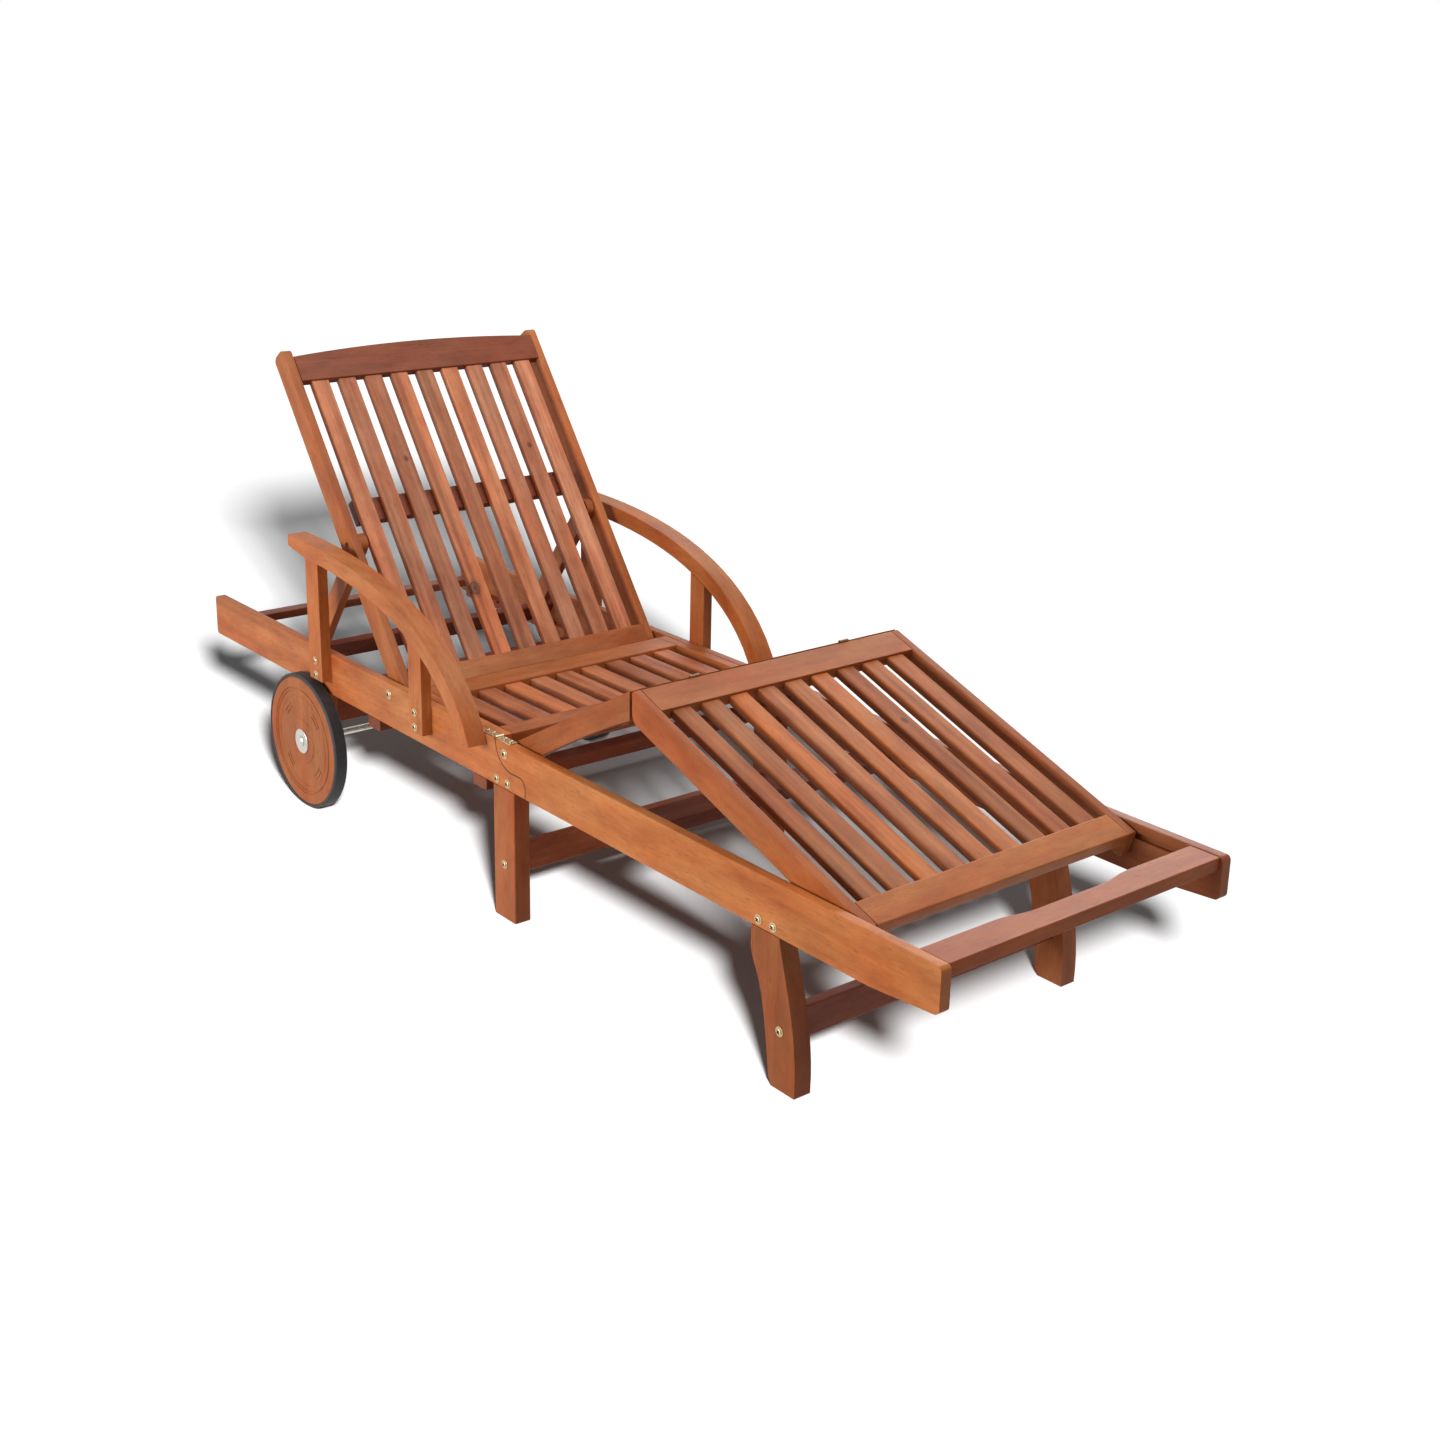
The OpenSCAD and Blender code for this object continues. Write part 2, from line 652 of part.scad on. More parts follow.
// Armrests: a level rear part that curves down to the rail
arm_z = rail_top + arm_rise;
arm_end_z = rail_top - arm_lap;
arm_n = 20;
arm_path = [
    [arm_rear_x, arm_z],
    [arm_rear_x + arm_level, arm_z - 1],
    [arm_front_x - arm_bend, arm_end_z + arm_rise],
    [arm_front_x, arm_end_z]
];
arm_top = curve(arm_path, arm_n);
arm_taper = 50;
arm_foot = arm_t / -bezier_way(arm_path, 1).y;
arm_under = [
    [arm_rear_x, arm_z - arm_end_t],
    for (i = [0 : arm_n - 1])
        let (
            t = i / arm_n,
            way = bezier_way(arm_path, t),
            p = bezier(arm_path, t) + arm_t * [way.y, -way.x]
        )
        if (p.x > arm_rear_x + arm_taper && p.y > arm_end_z + 4) p,
    [arm_front_x - arm_foot, arm_end_z]
];
function arm_under_z(x) = lookup(x, arm_under);
module armrest() {
    board(concat(backwards(arm_top), arm_under), half_w, half_w + arm_w);
}
module armrest_left() {
    color("peru") armrest();
}
module armrest_right() {
    color("peru") other_side() armrest();
}
post_bot = rail_bot + post_foot;
post_screw_z = [rail_top - post_screw_low, rail_top - post_screw_high];
rear_screw_x = rear_post_x + rear_post_w / 2;
front_screw_x = front_post_x + front_post_w * 0.42;
module arm_post(x, w, screw_x) {
    difference() {
        board([
            [x + w, post_bot], [x, post_bot], [x, arm_under_z(x) - fit],
            for (p = arm_under) if (p.x > x && p.x < x + w) [p.x, p.y - fit],
            [x + w, arm_under_z(x + w) - fit]
        ], half_w, half_w + post_t);
        for (z = post_screw_z) rod(screw_x, z, half_w - 1, half_w + post_t + 1, shank_r + fit);
    }
}
module rear_arm_posts() {
    color("peru") pair() arm_post(rear_post_x, rear_post_w, rear_screw_x);
}
module front_arm_posts() {
    color("peru") pair() arm_post(front_post_x, front_post_w, front_screw_x);
}
module arm_post_screws() {
    color("goldenrod") pair() for (x = [rear_screw_x, front_screw_x], z = post_screw_z)
        screw(x, z, half_w + post_t, post_t + post_screw_in);
}

// Pivot bolts, which end in blind holes in the panels' stiles, short of the cross rails' tenons
blind_in = panel_in + tenon_l + 1;
pivot_l = half_w - blind_in;
module backrest_pivot_bolts() {
    color("goldenrod") pair() pivot_bolt(-back_pivot, back_z, pivot_l);
}
module leg_rest_pivot_bolts() {
    color("goldenrod") pair() pivot_bolt(thigh_pivot, thigh_z, pivot_l);
}
module pivot_hole(x, z) {
    rod(x, z, blind_in - 0.5, panel_w + 1, pivot_r + fit);
}

// Fold hinges on the rails' top edges; way is -1 for the rear leaf and 1 for the front one
leaf_y = (in_w + half_w - leaf_w) / 2;
knuckle_w = leaf_w / 3;
leaf_screw_r = 3;
leaf_screw_h = 0.8;
module fold_leaf(way, knuckles) {
    difference() {
        union() {
            for (k = knuckles) {
                y0 = leaf_y + k * knuckle_w;
                y1 = y0 + knuckle_w - running;
                reach = way * relief_r * 1.1;
                rod(0, hinge_z, y0, y1, knuckle_r);
                box(min(0, reach), max(0, reach), y0, y1, rail_top, rail_top + leaf_t);
            }
            box(min(way * relief_r, way * leaf_l), max(way * relief_r, way * leaf_l), leaf_y, leaf_y + leaf_w,
                rail_top, rail_top + leaf_t);
            for (x = [leaf_l * 0.4, leaf_l * 0.8])
                translate([way * x, leaf_y + leaf_w / 2, rail_top])
                    cylinder(h = leaf_t + leaf_screw_h, r = leaf_screw_r, $fn = 32);
        }
        rod(0, hinge_z, leaf_y - 1, leaf_y + leaf_w + 1, hinge_pin_r + fit);
    }
}
module fold_hinge_rear_leaves() {
    color("gold") pair() fold_leaf(-1, [0, 2]);
}
module fold_hinge_front_leaves() {
    color("gold") pair() fold_leaf(1, [1]);
}
module fold_hinge_pins() {
    color("gold") pair() rod(0, hinge_z, leaf_y - 0.5, leaf_y + leaf_w + 0.5, hinge_pin_r);
}

// Backrest, drawn flat with its pivot at the origin and its head toward -X
module on_back() {
    translate([-back_pivot, 0, back_z]) rotate([0, back_angle, 0]) children();
}
back_top = stile_d / 2;
back_low_end = back_low_w - 9;
crest_at = back_len - crest_in - crest_w;
back_slat_top = back_top - slat_drop;
module back_stile() {
    difference() {
        intersection() {
            bar_x(-back_len, back_top, panel_in, panel_w, -back_top, back_top);
            board(rounded([
                [-back_len, -back_top, 14], [back_top, -back_top, back_top - 1],
                [back_top, back_top, back_top - 1], [-back_len, back_top, 14]
            ]), panel_in, panel_w);
        }
        pivot_hole(0, 0);
        rod(-prop_at, 0, panel_in - 1, panel_w + 1, pivot_r + fit);
        rod(-prop_at, 0, panel_w - prop_head_t, panel_w + 1, prop_head_r + fit);
        cross_tenons(-back_low_end, 9, back_top - cross_t, back_top, fit);
        cross_tenons(-crest_at - crest_w, -crest_at, back_top - cross_t, back_top, fit);
    }
}
module backrest_stile_left() {
    color("peru") on_back() back_stile();
}
module backrest_stile_right() {
    color("peru") on_back() other_side() back_stile();
}
module backrest_crest_rail() {
    end = crest_at + crest_w;
    arch = curve([
        [-end, -panel_in], [-end - crest_rise * 4 / 3, -panel_in / 3],
        [-end - crest_rise * 4 / 3, panel_in / 3], [-end, panel_in]
    ], 16);
    color("sienna") on_back() difference() {
        union() {
            translate([0, 0, back_top - cross_t]) linear_extrude(cross_t)
                polygon(concat(arch, [[-crest_at, panel_in], [-crest_at, -panel_in]]));
            cross_tenons(-end, -crest_at, back_top - cross_t, back_top, 0);
        }
        slat_mortises(-crest_at, back_slat_top - slat_t / 2, back_slat_w, back_pitch);
    }
}
module backrest_low_rail() {
    color("peru") on_back() difference() {
        cross_rail(-back_low_end, 9, back_top - cross_t, back_top);
        slat_mortises(-back_low_end, back_slat_top - slat_t / 2, back_slat_w, back_pitch);
    }
}
module backrest_mid_batten() {
    y = (slat_count - 1) / 2 * back_pitch + back_slat_w / 2 - 1;
    color("sienna") on_back()
    bar_y(-back_batten_at - back_batten_w, -back_batten_at, -y, y, back_slat_top - slat_t - back_batten_t,
        back_slat_top - slat_t);
}
module backrest_slats() {
    color("sandybrown") on_back()
    slat_row(-crest_at, -back_low_end, back_slat_top, back_slat_w, back_pitch);
}

// Prop, drawn flat with its pivot at the origin and its foot toward -X
prop_head_r = 6;
prop_head_t = 3;
module prop_pivot_pins() {
    color("goldenrod") on_back() pair() {
        rod(-prop_at, 0, strut_in - 0.8, panel_w - 0.3, pivot_r);
        rod(-prop_at, 0, panel_w - prop_head_t + fit, panel_w - 0.3, prop_head_r);
    }
}
module on_prop() {
    a = back_angle;
    translate([-back_pivot - prop_at * cos(a), 0, prop_pivot_z(a)]) rotate([0, -prop_angle(a), 0])
        children();
}
bar_low = -strut_w / 2;
module prop_struts() {
    r = strut_w / 2;
    color("peru") on_prop() pair() difference() {
        board(rounded([
            [-prop_l, -r, 3], [r, -r, r - 0.5], [r, r, r - 0.5], [-prop_l, r, 8]
        ]), strut_in, strut_out);
        rod(0, 0, strut_in - 1, strut_out + 1, pivot_r + fit);
        box(-prop_l - 1, -prop_l + foot_bar_w, strut_in - 1, strut_out + 1, bar_low - 1,
            bar_low + foot_bar_t);
    }
}
module prop_foot_bar() {
    color("sienna") on_prop()
    bar_y(-prop_l, -prop_l + foot_bar_w, -in_w + 1.5, in_w - 1.5, bar_low, bar_low + foot_bar_t);
}

// Front rail, with a rounded rear end, a tapered foot end and a groove for the foot pins
module front_rail_outline() {
    c = rail_corner;
    tip = rail_top - rail_tip_h;
    polygon(rounded([
        [scarf_x, rail_top - scarf_r, 0], [nose_len + scarf_gap, rail_top - scarf_r, nose_r + scarf_gap],
        [nose_len + scarf_gap, rail_bot, 0], [front_len - rail_taper, rail_bot, rail_taper_r],
        [front_len, tip, c], [front_len, rail_top, c], [scarf_x, rail_top, 0]
    ]));
}
front_screws = [for (x = mid_screw_x) x - mid_leg_x + front_leg_x + 3];
groove_end = foot_pin_r + 1;
module front_rail() {
    difference() {
        intersection() {
            rail_section(fold_gap, front_len);
            translate([0, half_w, 0]) rotate([90, 0, 0]) linear_extrude(rail_t) union() {
                front_rail_outline();
                intersection() {
                    translate([scarf_x, rail_top]) circle(r = scarf_r, $fn = 96);
                    translate([fold_gap, rail_top - scarf_r]) square([scarf_r + 1, scarf_r]);
                }
            }
        }
        rod(0, hinge_z, in_w - 1, half_w + 1, relief_r);
        rod(thigh_pivot, thigh_z, in_w - 1, half_w + 1, pivot_r + fit);
        for (x = front_screws) rod(x, leg_screw_z, in_w - 1, half_w + 1, shank_r + fit);
        groove();
    }
}
module groove() {
    x0 = foot_pin_x(thigh_angle) - foot_pin_r - 0.8 + groove_h / 2;
    x1 = foot_pin_x(0) + foot_pin_r + 5 - groove_h / 2;
    y1 = in_w + groove_d;
    z = groove_z + 1;
    rod(x0, z, in_w - 1, y1, groove_h / 2);
    rod(x1, z, in_w - 1, y1, groove_h / 2);
    box(x0, x1, in_w - 1, y1, z - groove_h / 2, z + groove_h / 2);
}
module front_rail_left() {
    color("peru") front_rail();
}
module front_rail_right() {
    color("peru") other_side() front_rail();
}

// Front leg: a sabre leg whose foot sweeps toward the foot end
module front_leg() {
    x0 = front_leg_x;
    x1 = front_leg_x + front_leg_w;
    foot0 = x0 + foot_sweep + front_leg_w - foot_w;
    foot1 = foot0 + foot_w;
    h = rail_bot;
    w = front_leg_w;
    bend = [x0 + w * 0.475, h * 0.52];
    rear_edge = concat(
        [[x0, h]],
        curve([[x0, h * 0.87], [x0 + w * 0.03, h * 0.76], [x0 + w * 0.34, h * 0.71], bend], 8),
        skip_first(curve([
            bend, [x0 + w * 0.64, h * 0.32], [foot0 - w * 0.17, h * 0.18], [foot0 - w * 0.1, h * 0.05]
        ], 6)),
        [[foot0, 0]]
    );
    front_edge = curve([[foot1, 0], [foot1 + w * 0.1, h * 0.44], [x1 + w * 0.14, h * 0.8], [x1, h]], 12);
    difference() {
        union() {
            board(concat(rear_edge, front_edge), leg_in, half_w);
            leg_tongue(x0 + 1, x1 - 1, tongue_h);
        }
        for (x = front_screws) rod(x, leg_screw_z, tongue_in + 2, in_w + 1, shank_r + fit);
        rod(front_stretcher_x + stretcher_t / 2, front_stretcher_z + stretcher_screw_up, leg_in - 1,
            half_w + 1, shank_r + fit);
    }
}
module front_leg_left() {
    color("peru") front_leg();
}
module front_leg_right() {
    color("peru") other_side() front_leg();
}
front_stretcher_x = front_leg_x + front_stretcher_in;
module front_stretcher() {
    color("sienna") stretcher(front_stretcher_x, front_stretcher_z);
}
module front_leg_screws() {
    color("goldenrod") pair() {
        for (x = front_screws) screw(x, leg_screw_z, half_w, rail_t + tongue_t - 3);
        screw(front_stretcher_x + stretcher_t / 2, front_stretcher_z + stretcher_screw_up, half_w,
            stretcher_screw_l);
    }
}
module low_cross_board() {
    color("sienna")
    bar_y(mid_board_x, mid_board_x + mid_board_w, -in_w, in_w, rail_bot + 2, rail_bot + 2 + mid_board_t);
}
module foot_handle() {
    x1 = front_len - handle_in;
    x0 = x1 - handle_w;
    step0 = handle_waist_y;
    step1 = step0 * 0.43;
    side = curve([
        [x0, step0], [x0, (step0 + step1) / 2], [x0 + handle_waist, (step0 + step1) / 2],
        [x0 + handle_waist, step1]
    ], 8);
    other = [for (p = backwards(side)) [p.x, -p.y]];
    color("peru") translate([0, 0, rail_top - handle_t - 1]) linear_extrude(handle_t)
        polygon(concat([[x1, -in_w], [x1, in_w], [x0, in_w]], side, other, [[x0, -in_w]]));
}

// Thigh panel, drawn flat with its pivot at the origin and its knee toward +X
module on_thigh() {
    translate([thigh_pivot, 0, thigh_z]) rotate([0, -thigh_angle, 0]) children();
}
thigh_back = -8;
thigh_low = thigh_up - thigh_d;
thigh_end = thigh_len - knee_gap;
thigh_knee_in = cross_t * tan(thigh_cut);
module thigh_stiles() {
    arch = curve([
        [thigh_end - thigh_d * tan(thigh_cut), thigh_low], [thigh_len * 0.66, thigh_low + thigh_arch * 4 / 3],
        [thigh_len * 0.33, thigh_low + thigh_arch * 4 / 3], [12, thigh_low]
    ], 12);
    r = thigh_up - 0.5;
    color("peru") on_thigh() pair() difference() {
        board(rounded([
            [thigh_end, thigh_up, 1], [-20, thigh_up, r], [-20, thigh_low, 18],
            for (p = backwards(arch)) [p.x, p.y, 0]
        ]), panel_in, panel_w);
        pivot_hole(0, 0);
        cross_tenons(thigh_back, thigh_back + thigh_rail_w, thigh_up - cross_t, thigh_up, fit);
        cross_tenons(thigh_end - thigh_rail_w, thigh_end - thigh_knee_in, thigh_up - cross_t, thigh_up, fit);
    }
}
thigh_slat_top = thigh_up - slat_drop;
module thigh_rear_rail() {
    color("peru") on_thigh() difference() {
        cross_rail(thigh_back, thigh_back + thigh_rail_w, thigh_up - cross_t, thigh_up);
        slat_mortises(thigh_back + thigh_rail_w, thigh_slat_top - slat_t / 2, slat_w, slat_pitch);
    }
}
module thigh_knee_rail() {
    x0 = thigh_end - thigh_rail_w;
    color("peru") on_thigh() difference() {
        union() {
            board([
                [x0, thigh_up - cross_t], [thigh_end - thigh_knee_in, thigh_up - cross_t],
                [thigh_end, thigh_up], [x0, thigh_up]
            ], -panel_in, panel_in);
            cross_tenons(x0, thigh_end - thigh_knee_in, thigh_up - cross_t, thigh_up, 0);
        }
        slat_mortises(thigh_end - thigh_rail_w, thigh_slat_top - slat_t / 2, slat_w, slat_pitch);
    }
}
module thigh_slats() {
    color("sandybrown") on_thigh()
    slat_row(thigh_back + thigh_rail_w, thigh_end - thigh_rail_w, thigh_slat_top, slat_w, slat_pitch);
}

// Knee hinges in the meeting faces, drawn with the knuckles' axis at the origin; the leaves follow
// the undercut of the panels' ends. way is -1 for the thigh panel's leaf and 1 for the calf panel's
knee_knuckle = knee_hinge_w / 3;
knee_leaf_h = 17;
knee_leaf_t = 1.5;
knuckle_end = 0.15;
module knee_leaf(way, cut, knuckles) {
    y0 = knee_hinge_y - knee_hinge_w / 2;
    face = way * knee_gap * cos(cut);
    inner = face - way * knee_leaf_t;
    rotate([0, -way * cut, 0]) difference() {
        union() {
            box(min(face, inner), max(face, inner), y0, y0 + knee_hinge_w, -knee_leaf_h, -knee_r - 0.3);
            for (k = knuckles) {
                ya = y0 + k * knee_knuckle + knuckle_end;
                yb = y0 + (k + 1) * knee_knuckle - knuckle_end;
                rod(0, 0, ya, yb, knee_r);
                box(min(face, way * 0.2), max(face, way * 0.2), ya, yb, -knee_r - 1, -knee_r + 1);
            }
        }
        rod(0, 0, y0 - 1, y0 + knee_hinge_w + 1, knee_pin_r + fit);
    }
}
module knee_hinge_thigh_leaves() {
    color("gold") on_thigh() translate([thigh_len, 0, thigh_up]) pair() knee_leaf(-1, thigh_cut, [0, 2]);
}
module knee_hinge_pins() {
    color("gold") on_thigh() translate([thigh_len, 0, thigh_up]) pair()
        rod(0, 0, knee_hinge_y - knee_hinge_w / 2, knee_hinge_y + knee_hinge_w / 2, knee_pin_r);
}

// Calf panel, drawn flat with the knee's axis at the origin and its foot toward +X
module on_calf() {
    translate([knee_x(thigh_angle), 0, knee_z(thigh_angle)]) rotate([0, calf_angle(thigh_angle), 0])
        children();
}
calf_cut = calf_angle(thigh_cut) + 0.2;
calf_knee_in = cross_t * tan(calf_cut);
module knee_hinge_calf_leaves() {
    color("gold") on_calf() pair() knee_leaf(1, calf_cut, [1]);
}
module calf_stiles() {
    color("peru") on_calf() pair() difference() {
        intersection() {
            bar_x(knee_gap, calf_len, panel_in, panel_w, -calf_d, 0);
            board(rounded([
                [knee_gap + calf_d * tan(calf_cut), -calf_d, calf_heel_r], [calf_len, -calf_d, 6], [calf_len, 0, 4],
                [knee_gap, 0, 0]
            ]), panel_in, panel_w);
        }
        rod(foot_pin_at, -foot_pin_drop, blind_in - 0.5, panel_w + 1, foot_pin_r + fit);
        cross_tenons(knee_gap + calf_knee_in, knee_gap + calf_top_w, -cross_t, 0, fit);
        cross_tenons(calf_len - calf_low_w, calf_len, -cross_t, 0, fit);
    }
}
module calf_knee_rail() {
    x1 = knee_gap + calf_top_w;
    color("peru") on_calf() difference() {
        union() {
            board([[knee_gap + calf_knee_in, -cross_t], [x1, -cross_t], [x1, 0], [knee_gap, 0]],
                -panel_in, panel_in);
            cross_tenons(knee_gap + calf_knee_in, x1, -cross_t, 0, 0);
        }
        slat_mortises(knee_gap + calf_top_w, -slat_drop - slat_t / 2, slat_w, slat_pitch);
    }
}
module calf_low_rail() {
    color("peru") on_calf() difference() {
        cross_rail(calf_len - calf_low_w, calf_len, -cross_t, 0);
        slat_mortises(calf_len - calf_low_w, -slat_drop - slat_t / 2, slat_w, slat_pitch);
    }
}
module calf_slats() {
    color("sandybrown") on_calf()
    slat_row(knee_gap + calf_top_w, calf_len - calf_low_w, -slat_drop, slat_w, slat_pitch);
}
module calf_foot_pins() {
    color("silver") on_calf() pair()
    rod(foot_pin_at, -foot_pin_drop, blind_in, in_w + groove_d - running - 0.2, foot_pin_r);
}

// Wheels: a turned disc with raised rings and four pairs of short arcs, and a rubber tyre
module disc_profile() {
    w = wheel_w;
    h = ring_h;
    polygon([
        [axle_r + 0.08, 0], [disc_r - 2, 0], [disc_r, 2], [disc_r, w - 2], [disc_r - 2, w], [ring_r + 5, w],
        [ring_r + 4, w - h], [ring_r + 2, w - h], [ring_r + 1, w], [ring_r - 1, w], [ring_r - 2, w - h],
        [ring_r - 11, w - h], [ring_r - 12, w - h / 2], [ring_r - 13, w - h], [hub_r + 20, w - h],
        [hub_r + 18, w], [axle_r + 0.08, w]
    ]);
}
module wheel_arcs() {
    for (a = [45 : 90 : 315], r = [arc_r, arc_r + arc_step])
        translate([0, 0, wheel_w - ring_h - 0.5]) rotate([0, 0, a - 11])
            rotate_extrude(angle = 22, $fn = 96) translate([r, 0]) square([arc_w, 0.5 + ring_h * 0.7]);
}
module wheel_disc() {
    translate([axle_x, wheel_in, wheel_z]) rotate([-90, 0, 0]) union() {
        rotate_extrude($fn = 96) disc_profile();
        wheel_arcs();
    }
}
module tyre() {
    translate([axle_x, wheel_in, wheel_z]) rotate([-90, 0, 0]) rotate_extrude($fn = 96) polygon([
        [disc_r, 0], [wheel_r - 2, 0], [wheel_r, 2], [wheel_r, wheel_w - 2], [wheel_r - 2, wheel_w],
        [disc_r, wheel_w]
    ]);
}
module wheel_disc_left() {
    color("sienna") wheel_disc();
}
module wheel_disc_right() {
    color("sienna") other_side() wheel_disc();
}
module tyre_left() {
    color("dimgray") tyre();
}
module tyre_right() {
    color("dimgray") other_side() tyre();
}

rear_rail_left();
rear_rail_right();
head_batten();
under_battens();
wheel_legs();
axle_board();
wheel_axle();
hub_spacers();
hub_caps();
middle_legs();
middle_stretcher();
prop_racks();
seat_rear_rail();
seat_front_rail();
seat_slats();
seat_side_strips();
armrest_left();
armrest_right();
rear_arm_posts();
front_arm_posts();
arm_post_screws();
middle_leg_screws();
backrest_pivot_bolts();
fold_hinge_rear_leaves();
fold_hinge_pins();
backrest_stile_left();
backrest_stile_right();
backrest_crest_rail();
backrest_low_rail();
backrest_mid_batten();
backrest_slats();
prop_pivot_pins();
prop_struts();
prop_foot_bar();
front_rail_left();
front_rail_right();
front_leg_left();
front_leg_right();
front_stretcher();
low_cross_board();
foot_handle();
front_leg_screws();
leg_rest_pivot_bolts();
fold_hinge_front_leaves();
thigh_stiles();
thigh_rear_rail();
thigh_knee_rail();
thigh_slats();
knee_hinge_thigh_leaves();
knee_hinge_pins();
calf_stiles();
calf_knee_rail();
calf_low_rail();
calf_slats();
knee_hinge_calf_leaves();
calf_foot_pins();
wheel_disc_left();
wheel_disc_right();
tyre_left();
tyre_right();
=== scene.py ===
"""Looks of the folding hardwood sun lounger: oiled wood, brass, zinc, rubber and a white studio."""

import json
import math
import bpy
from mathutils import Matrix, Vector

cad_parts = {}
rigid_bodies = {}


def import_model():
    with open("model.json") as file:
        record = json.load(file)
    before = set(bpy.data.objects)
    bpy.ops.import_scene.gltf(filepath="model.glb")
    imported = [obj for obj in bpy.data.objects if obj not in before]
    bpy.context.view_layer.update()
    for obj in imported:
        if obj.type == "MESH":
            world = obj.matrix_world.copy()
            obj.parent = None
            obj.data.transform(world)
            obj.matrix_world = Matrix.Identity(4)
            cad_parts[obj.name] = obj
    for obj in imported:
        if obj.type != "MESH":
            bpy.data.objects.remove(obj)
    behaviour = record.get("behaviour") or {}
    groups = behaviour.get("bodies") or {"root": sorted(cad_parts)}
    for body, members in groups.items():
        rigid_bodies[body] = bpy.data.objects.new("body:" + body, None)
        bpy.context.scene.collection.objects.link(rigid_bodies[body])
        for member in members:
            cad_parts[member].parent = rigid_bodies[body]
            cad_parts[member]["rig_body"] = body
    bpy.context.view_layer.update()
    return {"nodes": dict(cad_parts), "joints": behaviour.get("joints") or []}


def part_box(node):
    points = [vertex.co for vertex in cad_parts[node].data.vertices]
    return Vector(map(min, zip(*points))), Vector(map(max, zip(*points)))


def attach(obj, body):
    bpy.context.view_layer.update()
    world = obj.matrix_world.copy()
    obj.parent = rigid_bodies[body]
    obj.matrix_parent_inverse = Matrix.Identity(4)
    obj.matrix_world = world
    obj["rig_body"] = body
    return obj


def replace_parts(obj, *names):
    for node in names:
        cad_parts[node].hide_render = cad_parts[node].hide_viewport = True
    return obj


bl_info = {
    "name": "Folding Sun Lounger",
    "version": (1, 0, 0),
    "blender": (4, 5, 0),
    "location": "View3D > Sidebar > Lounger",
    "description": "Dresses the packed sun lounger in oiled hardwood, brass, zinc and rubber",
    "category": "Object",
}

from collections import namedtuple

import bmesh
import bpy
from mathutils import Matrix, Vector

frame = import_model()
NODES = frame["nodes"]
JOINTS = {joint["name"]: joint for joint in frame["joints"]}


def joint_place(name):
    """A joint's place at rest, in metres."""
    return Vector(JOINTS[name]["pos_m"])


# The panels were drawn flat and then turned about these pivots
BACK_LEAN = (joint_place("backrest_recline"), math.radians(53.3))
PROP_LEAN = (joint_place("prop_swing"), math.radians(-53.99))
THIGH_LEAN = (joint_place("leg_rest_raise"), math.radians(-29.3))
CALF_LEAN = (joint_place("knee_bend"), math.radians(19.22))


# Shader maths


class Wire:
    """A node's socket that takes part in arithmetic, adding its Math nodes."""

    def __init__(self, paint, socket):
        self.paint = paint
        self.socket = socket

    def math(self, operation, *values, clamp=False):
        """The result of a Math node on wires or numbers."""
        settings = {"operation": operation, "use_clamp": clamp}
        return self.paint.node("ShaderNodeMath", settings, dict(enumerate(values)))

    def __add__(self, other):
        return self.math("ADD", self, other)

    __radd__ = __add__

    def __sub__(self, other):
        return self.math("SUBTRACT", self, other)

    def __rsub__(self, other):
        return self.math("SUBTRACT", other, self)

    def __mul__(self, other):
        return self.math("MULTIPLY", self, other)

    __rmul__ = __mul__

    def at_least(self, low):
        return self.math("MAXIMUM", self, low)

    def at_most(self, high):
        return self.math("MINIMUM", self, high)

    def sine(self):
        return self.math("SINE", self)

    def size(self):
        """The value without its sign."""
        return self.math("ABSOLUTE", self)

    def step(self, low, high):
        """0 below low, 1 above high, smooth between; high may be the smaller."""
        settings = {"interpolation_type": "SMOOTHSTEP", "clamp": True}
        inputs = {"Value": self, "From Min": low, "From Max": high, "To Min": 0.0, "To Max": 1.0}
        return self.paint.node("ShaderNodeMapRange", settings, inputs)


def reach(*parts):
    """How far a point lies from zero, from its coordinates."""
    total = parts[0] * parts[0]
    for part in parts[1:]:
        total = total + part * part
    return total.math("SQRT", total)


